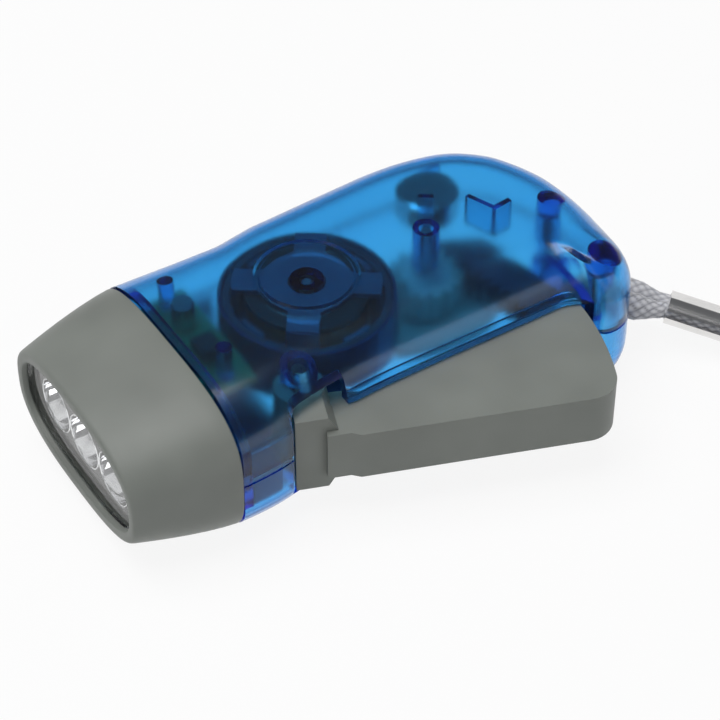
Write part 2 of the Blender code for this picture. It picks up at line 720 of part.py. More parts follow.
def arc_band(inner, outer, first, last, count, centre=(0.0, 0.0)):
    """A band of a circle's plan outline between two angles."""
    def side(radius, order):
        return [
            (centre[0] + radius * math.cos(angle), centre[1] + radius * math.sin(angle))
            for angle in order
        ]
    angles = [first + (last - first) * step / count for step in range(count + 1)]
    return side(outer, angles) + side(inner, reversed(angles))


V_RIB_MM = [(82.7, 5.4), (84.9, 0.3), (88.4, 0.7)]


def fins_upper():
    made = bmesh.new()
    low = V_RIB_LOW
    first, corner, last = [(x * MM, y * MM) for x, y in V_RIB_MM]
    thick = RIB_THICKNESS
    way_one = Vector((first[0] - corner[0], first[1] - corner[1])).normalized()
    way_two = Vector((last[0] - corner[0], last[1] - corner[1])).normalized()
    off_one = Vector((way_one.y, -way_one.x)) * thick / 2
    off_two = Vector((way_two.y, -way_two.x)) * thick / 2
    c = Vector(corner)
    inner = c + (way_one + way_two).normalized() * thick * 0.62
    outer = c - (way_one + way_two).normalized() * thick * 0.62
    if (inner - outer).dot(off_one) < 0:
        off_one = -off_one
    if (inner - outer).dot(off_two) < 0:
        off_two = -off_two
    points = [
        tuple(Vector(first) + off_one), tuple(inner), tuple(Vector(last) + off_two),
        tuple(Vector(last) - off_two), tuple(outer), tuple(Vector(first) - off_one),
    ]
    add_prism(made, points, low, HALF_HEIGHT)
    rib_in, rib_out = CELL_RADIUS + GAP, CELL_RADIUS + GAP + RIB_THICKNESS
    for first, last in ((38.0, 72.0), (222.0, 246.0)):
        band = arc_band(rib_in, rib_out, math.radians(first), math.radians(last), 4, CELL_PLACE)
        add_prism(made, band, CELL_RIB_LOW, HALF_HEIGHT)
    return made


def end_wall():
    """The wall behind the lever's arc-shaped end."""
    return prism(
        arc_band(LEVER_REACH + END_CLEARANCE, LEVER_REACH + END_CLEARANCE + END_WALL,
                 math.radians(-14.0), math.radians(7.0), 10, PIVOT),
        SEAM_GAP / 2, END_WALL_TOP,
    )


def lever_slot(half):
    """The opening that the lever's arm swings through."""
    end = LEVER_REACH + END_CLEARANCE
    outer_y, inner_y = SLOT_OUTER_Y, SLOT_INNER_Y
    first = math.asin((outer_y - PIVOT[1]) / end)
    last = math.asin((inner_y - PIVOT[1]) / end)
    points = [(SLOT_START, inner_y), (SLOT_START, outer_y)]
    for step in range(9):
        angle = first + (last - first) * step / 8
        points.append((PIVOT[0] + end * math.cos(angle), PIVOT[1] + end * math.sin(angle)))
    return prism(points, -OVERRUN, half)


def hub_slot():
    """The taller, round-cornered arch round the lever's hub."""
    left, right, top, low = *ARCH_SPAN, ARCH_TOP, -OVERRUN
    points = [(left, low), (right, low), (right, top)]
    for step in range(6):
        angle = math.pi / 2 + math.pi / 2 * step / 5
        points.append((
            left + ARCH_CORNER + ARCH_CORNER * math.cos(angle),
            top - ARCH_CORNER + ARCH_CORNER * math.sin(angle),
        ))
    made = bmesh.new()
    add_prism(made, points, 0.0, ARCH_DEPTH)
    stand = Matrix(((1, 0, 0, 0), (0, 0, -1, 0), (0, 1, 0, 0), (0, 0, 0, 1)))
    bmesh.ops.transform(made, matrix=stand, verts=made.verts)
    bmesh.ops.translate(made, vec=(0.0, ARCH_INNER_Y, 0.0), verts=made.verts)
    return made


def bores_upper():
    made = bmesh.new()
    low = -OVERRUN
    for centre, radius, high in (
        (ROTOR_AXIS, AXLE_RADIUS + BORE_CLEARANCE, BORE_REACH),
        (AXIS_1, AXLE_RADIUS + BORE_CLEARANCE, BORE_REACH),
        (PIVOT, PIN_RADIUS + BORE_CLEARANCE, BORE_REACH),
        (TAIL_POST_B, SCREW_BORE, SCREW_BORE_REACH),
        (TAIL_POST_C, SCREW_BORE, SCREW_BORE_REACH),
    ):
        add_prism(made, circle(radius, 16, centre), low, high)
    return made


def bores_lower():
    made = bmesh.new()
    low = -OVERRUN
    for centre, radius, high in (
        (ROTOR_AXIS, AXLE_RADIUS + BORE_CLEARANCE, BORE_REACH),
        (AXIS_1, AXLE_RADIUS + BORE_CLEARANCE, BORE_REACH),
        (AXIS_2, AXLE_RADIUS + BORE_CLEARANCE, BORE_REACH),
        (PIVOT, PIN_RADIUS + BORE_CLEARANCE, BORE_REACH),
        (TAIL_POST_B, SCREW_BORE, CUT_REACH),
        (TAIL_POST_C, SCREW_BORE, CUT_REACH),
    ):
        add_prism(made, circle(radius, 16, centre), low, high)
    return made


def screw_wells():
    made = bmesh.new()
    for centre in (TAIL_POST_B, TAIL_POST_C):
        add_prism(made, circle(SCREW_WELL, 20, centre), SCREW_WELL_LOW, CUT_REACH)
    return made


def cord_hole():
    """The oval opening in the tail that both strands of the cord pass."""
    points = []
    half_width, half_height = CORD_HOLE_HALF_SIZE
    straight = half_width - half_height
    for step in range(24):
        angle = math.tau * step / 24
        shift = straight if math.cos(angle) > 0 else -straight
        points.append((shift + half_height * math.cos(angle), half_height * math.sin(angle)))
    made = prism(points, *CORD_HOLE_SPAN)
    along_x(made)
    bmesh.ops.translate(made, vec=(0.0, -CORD_HOLE[0], -CORD_HOLE[1]), verts=made.verts)
    return made


def ring_groove():
    """The shallow round groove on the top, over the generator."""
    return lathe(tube_profile(*RING_GROOVE, HALF_HEIGHT - RING_GROOVE_DEPTH, HALF_HEIGHT + OVERRUN),
                 56, ROTOR_AXIS)


def make_shell(name, lower):
    flip = mirrored if lower else (lambda made: made)
    body = keep(name, flip(shell_skin()), BLUE_PLASTIC)
    wall = body.modifiers.new("wall", "SOLIDIFY")
    wall.thickness = SHELL_WALL
    wall.offset = -1.0
    wall.use_even_offset = True
    core = tool(name + "_core", flip(shell_core(CORE_START)))
    groups = [("posts", posts_lower() if lower else posts_upper()), ("end_wall", end_wall())]
    if not lower:
        groups.append(("fins", fins_upper()))
    for label, made in groups:
        ribs = tool(name + "_" + label, flip(made))
        combine(ribs, core, "INTERSECT", True)
        combine(body, ribs, "UNION", True)
    collar = tool(name + "_collar", flip(half_collar(*COLLAR_SPAN, *COLLAR_INSETS)))
    seat = tool(name + "_collar_seat", flip(half_collar(*COLLAR_SEAT_SPAN, *COLLAR_SEAT_INSETS)))
    combine(seat, collar, "UNION")
    combine(body, seat, "UNION")
    combine(body, tool(name + "_slot", flip(lever_slot(SLOT_HALF_HEIGHT))), "DIFFERENCE")
    combine(body, tool(name + "_hub_slot", flip(hub_slot())), "DIFFERENCE")
    combine(body, tool(name + "_bores", flip(bores_lower() if lower else bores_upper())),
            "DIFFERENCE", True)
    if lower:
        combine(body, tool("cord_hole", cord_hole()), "DIFFERENCE")
        combine(body, tool("screw_wells", flip(screw_wells())), "DIFFERENCE", True)
    else:
        combine(body, tool("ring_groove", ring_groove()), "DIFFERENCE")
    return body


make_shell("upper_shell", False)
make_shell("lower_shell", True)


# Head
def make_bezel():
    def at(x, half_width, half_height, power):
        return [(x, y, z) for y, z in section(half_width, half_height, power)]

    def outer(x, shrink=0.0):
        share = min(1.0, max(0.0, x / HEAD_LENGTH))
        swell = 1.0 - (1.0 - share) ** 1.45
        return (
            RIM_HALF_WIDTH + (JOINT_HALF_WIDTH - RIM_HALF_WIDTH) * swell - shrink,
            RIM_HALF_HEIGHT + (HALF_HEIGHT - RIM_HALF_HEIGHT) * swell - shrink,
            2.7 + 0.45 * share,
        )

    rings = []
    for share, shrink_share in ((0.0, 0.42), (0.04, 0.0), (0.2, 0.0), (0.42, 0.0), (0.7, 0.0),
                                (0.98, 0.0), (1.0, 0.25)):
        rings.append(at(share * HEAD_LENGTH, *outer(share * HEAD_LENGTH, shrink_share * MM)))
    for share in (1.0, 0.8, 0.6):
        rings.append(at(share * HEAD_LENGTH, *outer(share * HEAD_LENGTH, BEZEL_WALL)))
    rings.append(at(POCKET_DEPTH, POCKET_HALF_WIDTH, POCKET_HALF_HEIGHT, 2.7))
    rings.append(at(LENS_SEAT, POCKET_HALF_WIDTH, POCKET_HALF_HEIGHT, 2.7))
    rings.append(at(LENS_SEAT, LENS_MOUTH_HALF_WIDTH, LENS_MOUTH_HALF_HEIGHT, 2.7))
    rings.append(at(0.0, RIM_HALF_WIDTH - RIM_FLAT, RIM_HALF_HEIGHT - RIM_FLAT, 2.7))
    made = bmesh.new()
    loft_rings(made, rings, wrap=True)
    return keep("head_bezel", made, GREY_PLASTIC)


def make_lens():
    made = prism(section(POCKET_HALF_WIDTH - GAP, POCKET_HALF_HEIGHT - GAP, 2.7, 48),
                 LENS_SEAT + GAP, LENS_SEAT + GAP + LENS_THICKNESS)
    return keep("front_lens", along_x(made), CLEAR_PLASTIC)


LAMP_PLACES = [-LAMP_PITCH, 0.0, LAMP_PITCH]


def make_reflector():
    made = bmesh.new()
    base = [(x, w, h) for x, w, h in (
        (CUP_FRONT, PLATE_HALF_WIDTH, PLATE_HALF_HEIGHT),
        (FLANGE_X, PLATE_HALF_WIDTH, PLATE_HALF_HEIGHT),
        (FLANGE_X, POCKET_HALF_WIDTH - GAP, POCKET_HALF_HEIGHT - GAP),
        (FLANGE_X + FLANGE_THICKNESS, POCKET_HALF_WIDTH - GAP, POCKET_HALF_HEIGHT - GAP),
        (FLANGE_X + FLANGE_THICKNESS, PLATE_HALF_WIDTH - PLATE_WALL, PLATE_HALF_HEIGHT - PLATE_WALL),
        (CUP_FRONT + PLATE_WALL, PLATE_HALF_WIDTH - PLATE_WALL, PLATE_HALF_HEIGHT - PLATE_WALL),
    )]
    loft_rings(made, [[(x, y, z) for y, z in section(w, h, 2.7, 28)] for x, w, h in base])
    body = keep("reflector", made, CHROME)
    shells = bmesh.new()
    for place in LAMP_PLACES:
        profile = [(0.0, CUP_FRONT + CUP_DEPTH), (0.0, CUP_FRONT + CUP_LIP)]
        for step in range(3):
            share = step / 2
            radius = CUP_THROAT + (CUP_MOUTH - CUP_THROAT) * (1 - share ** 1.7)
            profile.append((
                min(radius + CUP_WALL, LAMP_PITCH / 2 - SLIVER),
                CUP_FRONT + CUP_LIP + (CUP_DEPTH - CUP_LIP) * share,
            ))
        cup = bmesh.new()
        add_lathe(cup, profile, 16)
        add_to(shells, along_x(cup), (0.0, place, 0.0))
    for place in (-BOARD_POST_PLACE, BOARD_POST_PLACE):
        post = prism(circle(BOARD_POST_RADIUS, 12), CUP_FRONT + BOARD_POST_ROOT, BOARD_X - GAP)
        add_to(shells, along_x(post), (0.0, place, 0.0))
    combine(body, tool("reflector_cups", shells), "UNION", True)
    hollows = bmesh.new()
    for place in LAMP_PLACES:
        profile = [(0.0, CUP_FRONT + CUP_DEPTH + OVERRUN), (0.0, CUP_FRONT - OVERRUN),
                   (CUP_MOUTH + CUP_MOUTH_EASE, CUP_FRONT - OVERRUN)]
        for step in range(4):
            share = step / 3
            radius = CUP_THROAT + (CUP_MOUTH - CUP_THROAT) * (1 - share ** 1.7)
            profile.append((radius, CUP_FRONT + CUP_DEPTH * share))
        profile.append((CUP_THROAT, CUP_FRONT + CUP_DEPTH + OVERRUN))
        cup = bmesh.new()
        add_lathe(cup, profile, 16)
        add_to(hollows, along_x(cup), (0.0, place, 0.0))
    combine(body, tool("reflector_hollows", hollows), "DIFFERENCE", True)
    return body


def add_to(whole, piece, shift):
    """Moves a piece and adds it to a mesh that gathers several."""
    bmesh.ops.translate(piece, vec=shift, verts=piece.verts)
    table = {vert: whole.verts.new(vert.co) for vert in piece.verts}
    for face in piece.faces:
        whole.faces.new([table[vert] for vert in face.verts])
    piece.free()


def make_lamps():
    names = ("near_lamp", "middle_lamp", "far_lamp")
    for name, place in zip(names, LAMP_PLACES):
        end = LAMP_TIP + LAMP_LENGTH
        profile = [(0.0, end)]
        profile.append((LAMP_RADIUS + LAMP_FLANGE, end))
        profile.append((LAMP_RADIUS + LAMP_FLANGE, end - LAMP_FLANGE_HEIGHT))
        profile.append((LAMP_RADIUS, end - LAMP_FLANGE_HEIGHT))
        for step in range(5):
            angle = math.pi / 2 * step / 4
            profile.append((
                LAMP_RADIUS * math.cos(angle),
                LAMP_TIP + LAMP_RADIUS * (1 - math.sin(angle)),
            ))
        profile[-1] = (0.0, LAMP_TIP)
        body = keep(name, along_x(lathe(profile, 16)), EPOXY, (0.0, place, 0.0))
        leads = bmesh.new()
        for side in (-0.5, 0.5):
            pin = prism(circle(LEAD_RADIUS, 8), end - LEAD_ROOT, BOARD_X + BOARD_THICKNESS + LEAD_TAIL)
            add_to(leads, along_x(pin), (0.0, 0.0, side * LEAD_PITCH))
        combine(body, tool(name + "_leads", leads, (0.0, place, 0.0)), "UNION", True)


def make_board():
    made = along_x(prism(section(BOARD_HALF_WIDTH, BOARD_HALF_HEIGHT, 8.0, 24),
                         BOARD_X, BOARD_X + BOARD_THICKNESS))
    body = keep("lamp_board", made, BOARD_GREEN)
    holes = bmesh.new()
    for place in LAMP_PLACES:
        for side in (-0.5, 0.5):
            hole = prism(circle(LEAD_RADIUS + BORE_CLEARANCE, 12), BOARD_X - OVERRUN,
                         BOARD_X + BOARD_THICKNESS + OVERRUN)
            add_to(holes, along_x(hole), (0.0, place, side * LEAD_PITCH))
    combine(body, tool("lamp_board_holes", holes), "DIFFERENCE", True)


make_bezel()
make_lens()
make_reflector()
make_lamps()
make_board()


# Lever
def lip_edge(along):
    """How far inward the shell's lip reaches over the open arm, in the lever's own frame."""
    return LIP_START[1] + (along - LIP_START[0]) * math.tan(OPEN_ANGLE)


def arm_outline(margin):
    """The arm's plan in the lever's frame: outer face, arc-shaped end and inner edge."""
    reach = LEVER_REACH - margin
    face = -ARM_FACE + margin
    points = [(NECK_STEPS[0], -NECK_FACE + margin), (NECK_STEPS[1], -NECK_FACE + margin),
              (NECK_STEPS[2], face)]
    corner = ARM_CORNER - margin
    turn = Vector((math.sqrt((reach - corner) ** 2 - (face + corner) ** 2), face + corner))
    end_angle = math.atan2(turn.y, turn.x)
    for step in range(7):
        angle = -math.pi / 2 + (end_angle + math.pi / 2) * step / 6
        points.append((turn.x + corner * math.cos(angle), turn.y + corner * math.sin(angle)))
    last = math.radians(17.0)
    for step in range(1, 9):
        angle = end_angle + (last - end_angle) * step / 8
        points.append((reach * math.cos(angle), reach * math.sin(angle)))
    return points


def make_lever():
    inner = [(along, lip_edge(along) + LIP_COVER) for along in LIP_COVER_PLACES]
    inner += [(x * MM, y * MM) for x, y in NECK_INNER_MM]
    outline = arm_outline(0.0) + inner
    body = keep("lever", prism(outline, -LEVER_HALF_THICKNESS, LEVER_HALF_THICKNESS),
                GREY_PLASTIC, (PIVOT[0], PIVOT[1], 0.0), -OPEN_ANGLE)
    soften = body.modifiers.new("soft_edges", "BEVEL")
    soften.width = ARM_SOFTENING
    soften.segments = 1
    soften.limit_method = "ANGLE"
    hollow = [(x, y) for x, y in arm_outline(LEVER_WALL)[2:]] + [
        (x * MM, y * MM) for x, y in HOLLOW_INNER_MM
    ]
    place = (PIVOT[0], PIVOT[1], 0.0)
    inside = LEVER_HALF_THICKNESS - LEVER_WALL
    combine(body, tool("lever_hollow", prism(hollow, -inside, inside), place, -OPEN_ANGLE),
            "DIFFERENCE")

    # The rack arc with its inward teeth
    first, last = math.radians(6.0), math.radians(47.6)
    wide = math.radians(40.5)
    count = 24
    rim = []
    for step in range(count + 1):
        angle = first + (last - first) * step / count
        slimmed = max(0.0, angle - wide) / (last - wide)
        outer = (LEVER_REACH - RACK_INSET) * (1.0 - slimmed) + RACK_TAPER_REACH * slimmed
        rim.append((outer * math.cos(angle), outer * math.sin(angle)))
    pitch_angle = math.tau / RACK_TEETH
    tooth_zero = FIRST_AXIS_ANGLE + OPEN_ANGLE
    root = RACK_PITCH + 1.15 * RACK_MODULE
    tip = RACK_PITCH - 0.85 * RACK_MODULE
    lead_root = pitch_angle / 4 - BACKLASH / (4 * RACK_PITCH)
    inner_side = []
    number = math.floor((last - tooth_zero) / pitch_angle - 0.5)
    while tooth_zero + (number + 0.5) * pitch_angle > math.radians(20.0):
        middle = tooth_zero + (number + 0.5) * pitch_angle
        slope = math.tan(PRESSURE_ANGLE)
        wide_root = lead_root + slope * (root - RACK_PITCH) / RACK_PITCH
        slim_tip = lead_root - slope * (RACK_PITCH - tip) / RACK_PITCH
        for radius, lead in ((root, wide_root), (tip, slim_tip), (tip, -slim_tip),
                             (root, -wide_root)):
            inner_side.append((radius * math.cos(middle + lead), radius * math.sin(middle + lead)))
        number -= 1
    closing = math.radians(6.0)
    inner_side.append((tip * math.cos(math.radians(18.5)), tip * math.sin(math.radians(18.5))))
    inner_side.append((tip * math.cos(closing), tip * math.sin(closing)))
    start = [(root * math.cos(last), root * math.sin(last))]
    rack = tool("lever_rack", prism(rim + start + inner_side, *RACK_LEVELS),
                place, -OPEN_ANGLE)
    combine(body, rack, "UNION")

    # A web that ties the rack to the two plates
    (near_x, low_y), (far_x, high_y), (tip_x, tip_y) = WEB_POINTS
    web = prism([(near_x, low_y), (LEVER_REACH - WEB_END_GAP, low_y), (far_x, high_y),
                 (tip_x, tip_y)], -WEB_HALF_THICKNESS, WEB_HALF_THICKNESS)
    combine(body, tool("lever_web", web, place, -OPEN_ANGLE), "UNION")

    # The thicker hub, with slanted shoulders down to the arm
    back, flat, step = HUB_SHOULDERS
    shoulders = [(back, -HUB_HALF_THICKNESS), (flat, -HUB_HALF_THICKNESS),
                 (step, -LEVER_HALF_THICKNESS + SHOULDER_INSET),
                 (step, LEVER_HALF_THICKNESS - SHOULDER_INSET),
                 (flat, HUB_HALF_THICKNESS), (back, HUB_HALF_THICKNESS)]
    block = prism(shoulders, HUB_BLOCK_START, HUB_FACE)
    stand = Matrix(((1, 0, 0, 0), (0, 0, -1, 0), (0, 1, 0, 0), (0, 0, 0, 1)))
    bmesh.ops.transform(block, matrix=stand, verts=block.verts)
    hub = tool("lever_hub", prism(circle(HUB_RADIUS, 32), -HUB_HALF_THICKNESS + SLIVER,
                                  HUB_HALF_THICKNESS - SLIVER), place, -OPEN_ANGLE)
    hub_block = tool("lever_hub_block", block, place, -OPEN_ANGLE)
    combine(body, hub_block, "UNION")
    combine(body, hub, "UNION")
    bore = prism(circle(PIN_RADIUS + BORE_CLEARANCE, 24), -HUB_BORE_REACH, HUB_BORE_REACH)
    combine(body, tool("lever_bore", bore, place, -OPEN_ANGLE), "DIFFERENCE")
    pocket = prism(circle(SPRING_POCKET, 24), -HUB_BORE_REACH, SPRING_POCKET_TOP)
    combine(body, tool("lever_spring_pocket", pocket, place, -OPEN_ANGLE), "DIFFERENCE")
    return body


def make_pin(name, centre, radius, low, high, look=STEEL, steps=20):
    chamfer = radius * 0.25
    profile = [(0.0, low), (radius - chamfer, low), (radius, low + chamfer),
               (radius, high - chamfer), (radius - chamfer, high), (0.0, high)]
    return keep(name, lathe(profile, steps), look, (centre[0], centre[1], 0.0))


make_lever()
make_pin("lever_pin", PIVOT, PIN_RADIUS, -PIN_REACH, PIN_REACH)


def make_spring():
    """The torsion spring that swings the lever back out, wound round its pin in the hub."""
    coil_radius, wire, turns, pitch = SPRING_RADIUS, SPRING_WIRE, SPRING_TURNS, SPRING_PITCH
    leg, leg_height, base = SPRING_LEG, SPRING_LEG_LEVEL, SPRING_BASE
    leg_angle = math.radians(100.0)
    out = (math.cos(leg_angle + math.pi / 2), math.sin(leg_angle + math.pi / 2))
    start = (coil_radius * math.cos(leg_angle), coil_radius * math.sin(leg_angle))
    points = [
        (start[0] - leg * out[0], start[1] - leg * out[1], leg_height),
        (start[0], start[1], leg_height),
    ]
    steps = 10 * turns
    for step in range(1, steps + 1):
        angle = leg_angle + math.tau * step / 10
        points.append((coil_radius * math.cos(angle), coil_radius * math.sin(angle),
                       base + pitch * (step - 3) / 10 if step > 3
                       else leg_height + (base - leg_height) * step / 3))
    line = bpy.data.curves.new("lever_spring", "CURVE")
    line.dimensions = "3D"
    line.bevel_depth = wire
    line.bevel_resolution = 1
    line.use_fill_caps = True
    spline = line.splines.new("POLY")
    spline.points.add(len(points) - 1)
    for point, place in zip(spline.points, points):
        point.co = (*place, 1.0)
    thing = bpy.data.objects.new("lever_spring", line)
    thing.location = (PIVOT[0], PIVOT[1], HALF_HEIGHT)
    line.materials.append(STEEL)
    PARTS.objects.link(thing)
    least = min(
        math.dist(one, two) - 2 * wire
        for place, one in enumerate(points)
        for two in points[place + 6:]
    )
    print("spring, least gap to itself in mm:", round(least / MM, 3))
    return thing


make_spring()


# Gears
def bored_gear(name, look, centre, pieces, bore, low, high):
    """A gear made of stacked toothed and plain discs with one bore."""
    first = pieces[0]
    body = keep(name, prism(first[0], first[1], first[2]), look, (centre[0], centre[1], 0.0))
    for number, (outline, bottom, top) in enumerate(pieces[1:]):
        level = tool(f"{name}_level_{number}", prism(outline, bottom, top),
                     (centre[0], centre[1], 0.0))
        combine(body, level, "UNION")
    hole = tool(name + "_bore", prism(circle(bore, 20), low - OVERRUN, high + OVERRUN),
                (centre[0], centre[1], 0.0))
    combine(body, hole, "DIFFERENCE")
    return body


FIRST_BEARING = bearing(PIVOT, AXIS_1)
WHEEL_1_LOW, WHEEL_1_HIGH = FIRST_WHEEL_LEVELS
bored_gear("first_gear", WHITE_NYLON, AXIS_1, [
    (gear_outline(TRAIN_MODULE, FIRST_WHEEL_TEETH, phase=phase_to(bearing(AXIS_1, AXIS_2), 42),
                  flank_steps=1), WHEEL_1_LOW, WHEEL_1_HIGH),
    (circle(FIRST_COLLAR, 24), WHEEL_1_HIGH - JOIN_OVERLAP, FIRST_COLLAR_TOP),
    (gear_outline(RACK_MODULE, FIRST_PINION_TEETH, phase=phase_to(FIRST_BEARING, 14)),
     *FIRST_PINION_LEVELS),
], AXLE_RADIUS + BORE_CLEARANCE, WHEEL_1_LOW, FIRST_PINION_LEVELS[1])
make_pin("first_gear_axle", AXIS_1, AXLE_RADIUS, -PIN_REACH, PIN_REACH)

WHEEL_2_LOW, WHEEL_2_HIGH = SECOND_WHEEL_LEVELS
bored_gear("second_gear", WHITE_NYLON, AXIS_2, [
    (gear_outline(ROTOR_MODULE, SECOND_WHEEL_TEETH,
                  phase=phase_to(bearing(AXIS_2, ROTOR_AXIS), 36), flank_steps=1),
     WHEEL_2_LOW, WHEEL_2_HIGH),
    (gear_outline(TRAIN_MODULE, SECOND_PINION_TEETH,
                  phase=phase_to(bearing(AXIS_2, AXIS_1), SECOND_PINION_TEETH, False)),
     SECOND_PINION_LOW, WHEEL_2_LOW + JOIN_OVERLAP),
], AXLE_RADIUS + BORE_CLEARANCE, SECOND_PINION_LOW, WHEEL_2_HIGH)
make_pin("second_gear_axle", AXIS_2, AXLE_RADIUS, -PIN_REACH, SECOND_AXLE_TOP)

bored_gear("rotor_pinion", WHITE_NYLON, ROTOR_AXIS, [
    (gear_outline(ROTOR_MODULE, ROTOR_PINION_TEETH,
                  phase=phase_to(bearing(ROTOR_AXIS, AXIS_2), ROTOR_PINION_TEETH, False)),
     *ROTOR_PINION_LEVELS),
    (circle(ROTOR_COLLAR, 24), ROTOR_PINION_LEVELS[1] - JOIN_OVERLAP, CUP_BOTTOM - GAP),
], AXLE_RADIUS + BORE_CLEARANCE, ROTOR_PINION_LEVELS[0], CUP_BOTTOM)
make_pin("rotor_axle", ROTOR_AXIS, AXLE_RADIUS, -PIN_REACH, PIN_REACH)


# Generator
def make_generator():
    x, y = ROTOR_AXIS
    wall = CUP_RADIUS - MAGNET_OUTER - GAP
    cup = [
        (AXLE_RADIUS + BORE_CLEARANCE, CUP_BOTTOM),
        (CUP_RADIUS - CUP_CHAMFER, CUP_BOTTOM),
        (CUP_RADIUS, CUP_BOTTOM + CUP_CHAMFER),
        (CUP_RADIUS, CUP_TOP),
        (CUP_RADIUS - wall, CUP_TOP),
        (CUP_RADIUS - wall, CUP_BOTTOM + CUP_FLOOR),
        (AXLE_RADIUS + BORE_CLEARANCE, CUP_BOTTOM + CUP_FLOOR),
    ]
    keep("flywheel_cup", lathe(cup, 40), DARK_STEEL, (x, y, 0.0))
    ring = tube_profile(MAGNET_INNER, MAGNET_OUTER, CUP_BOTTOM + CUP_FLOOR + GAP, CUP_TOP - MAGNET_RECESS)
    keep("ring_magnet", lathe(ring, 40), MAGNET, (x, y, 0.0))

    def pole_star(turn):
        """A four-armed plate with a round middle."""
        points = []
        hub, half = POLE_HUB, POLE_WIDTH / 2
        for arm in range(4):
            middle = turn + arm * math.pi / 2
            for radius, side in ((POLE_RADIUS, -1), (POLE_RADIUS, 1)):
                lead = side * math.asin(half / radius)
                points.append((radius * math.cos(middle + lead), radius * math.sin(middle + lead)))
            lead = math.asin(half / hub)
            points.append((hub * math.cos(middle + lead), hub * math.sin(middle + lead)))
            between = middle + math.pi / 4
            points.append((hub * 0.97 * math.cos(between), hub * 0.97 * math.sin(between)))
            after = middle + math.pi / 2 - lead
            points.append((hub * math.cos(after), hub * math.sin(after)))
        return points

    def claws(turn, low, high):
        made = bmesh.new()
        half = POLE_WIDTH / 2 - SLIVER
        for arm in range(4):
            middle = turn + arm * math.pi / 2
            near = math.asin(half / POLE_RADIUS)
            add_prism(made, arc_band(POLE_RADIUS - POLE_THICKNESS, POLE_RADIUS - SLIVER / 2,
                                     middle - near, middle + near, 4), low, high)
        return made

    place = (x, y, 0.0)
    turn = math.radians(-34.8)
    plates = (
        ("upper_pole_plate", turn, PLATE_TOP - POLE_THICKNESS, PLATE_TOP, UPPER_CLAW_LOW,
         PLATE_TOP - GAP),
        ("lower_pole_plate", turn + math.pi / 4, LOWER_PLATE_LOW, LOWER_PLATE_LOW + POLE_THICKNESS,
         LOWER_PLATE_LOW + GAP, LOWER_CLAW_TOP),
    )
    for name, angle, low, high, claw_low, claw_high in plates:
        body = keep(name, prism(pole_star(angle), low, high), STEEL, place)
        combine(body, tool(name + "_claws", claws(angle, claw_low, claw_high), place), "UNION",
                True)
        hole = prism(circle(CENTRE_BOSS + GAP, 24), low - OVERRUN, high + OVERRUN)
        combine(body, tool(name + "_hole", hole, place), "DIFFERENCE")
    inner, flange = CENTRE_BOSS + GAP, SPOOL_FLANGE
    low, high, cheek = *SPOOL_LEVELS, SPOOL_CHEEK
    spool = [
        (inner, low), (flange, low), (flange, low + cheek), (inner + SPOOL_WALL, low + cheek),
        (inner + SPOOL_WALL, high - cheek), (flange, high - cheek), (flange, high), (inner, high),
    ]
    keep("coil_bobbin", lathe(spool, 32), BLACK_PLASTIC, place)
    winding = tube_profile(inner + SPOOL_WALL + GAP, flange - COIL_INSET, low + cheek + GAP,
                           high - cheek - GAP)
    keep("stator_coil", lathe(winding, 32), COPPER, place)


make_generator()


# Electronics
def rounded_box(half_x, half_y, low, high, radius, steps=3):
    points = []
    for number, (sx, sy) in enumerate(((1, 1), (-1, 1), (-1, -1), (1, -1))):
        for step in range(steps + 1):
            angle = math.pi / 2 * (number + step / steps)
            points.append((
                sx * (half_x - radius) + radius * math.cos(angle),
                sy * (half_y - radius) + radius * math.sin(angle),
            ))
    return prism(points, low, high)


keep("storage_cell", lathe([
    (x * MM, z * MM) for x, z in CELL_SECTION_MM
], 32), CELL_METAL, (*CELL_PLACE, 0.0))

keep("rectifier_board", rounded_box(*RECTIFIER_HALF_SIZE, BOARD_TOP - BOARD_THICKNESS, BOARD_TOP,
                                    RECTIFIER_CORNER),
     BOARD_GREEN, (*BOARD_PLACE, 0.0))
for name, shift in (("rectifier_bridge", -COMPONENT_SHIFT), ("smoothing_capacitor", COMPONENT_SHIFT)):
    if name == "rectifier_bridge":
        made = rounded_box(*BRIDGE_HALF_SIZE, 0.0, BRIDGE_HEIGHT, BRIDGE_CORNER)
        look = BLACK_PLASTIC
    else:
        made = lathe([(x * MM, z * MM) for x, z in CAPACITOR_SECTION_MM], 20)
        look = CELL_METAL
    keep(name, made, look, (BOARD_PLACE[0], BOARD_PLACE[1] + shift, BOARD_TOP + GAP))


# Screws
def make_screw(name, centre):
    low = SCREW_LOW
    profile = [(radius * MM, low + height * MM) for radius, height in SCREW_HEAD_MM]
    profile += [(radius * MM, height * MM) for radius, height in SCREW_SHANK_MM]
    body = keep(name, lathe(profile, 20), STEEL, (centre[0], centre[1], 0.0))
    cross = bmesh.new()
    wide, slim = CROSS_SLOT
    points = [(wide, -slim), (wide, slim), (slim, slim), (slim, wide), (-slim, wide),
              (-slim, slim), (-wide, slim), (-wide, -slim), (-slim, -slim), (-slim, -wide),
              (slim, -wide), (slim, -slim)]
    add_prism(cross, points, low - OVERRUN, low + CROSS_DEPTH)
    combine(body, tool(name + "_recess", cross, (centre[0], centre[1], 0.0)), "DIFFERENCE")


make_screw("tail_screw", TAIL_POST_B)
make_screw("corner_screw", TAIL_POST_C)


# Wrist cord: two strands leave the tail, pass a crimped ferrule and meet in a loop
def ferrule_frame():
    """Along the ferrule, from the near strand to the far one, and out of their plane."""
    along = Vector(FERRULE_WAY).normalized()
    level = Vector((-along.y, along.x, 0.0)).normalized()
    raised = along.cross(level) * -1.0
    across = level * math.cos(STRAND_TILT) + raised * math.sin(STRAND_TILT)
    return along, across, along.cross(across)


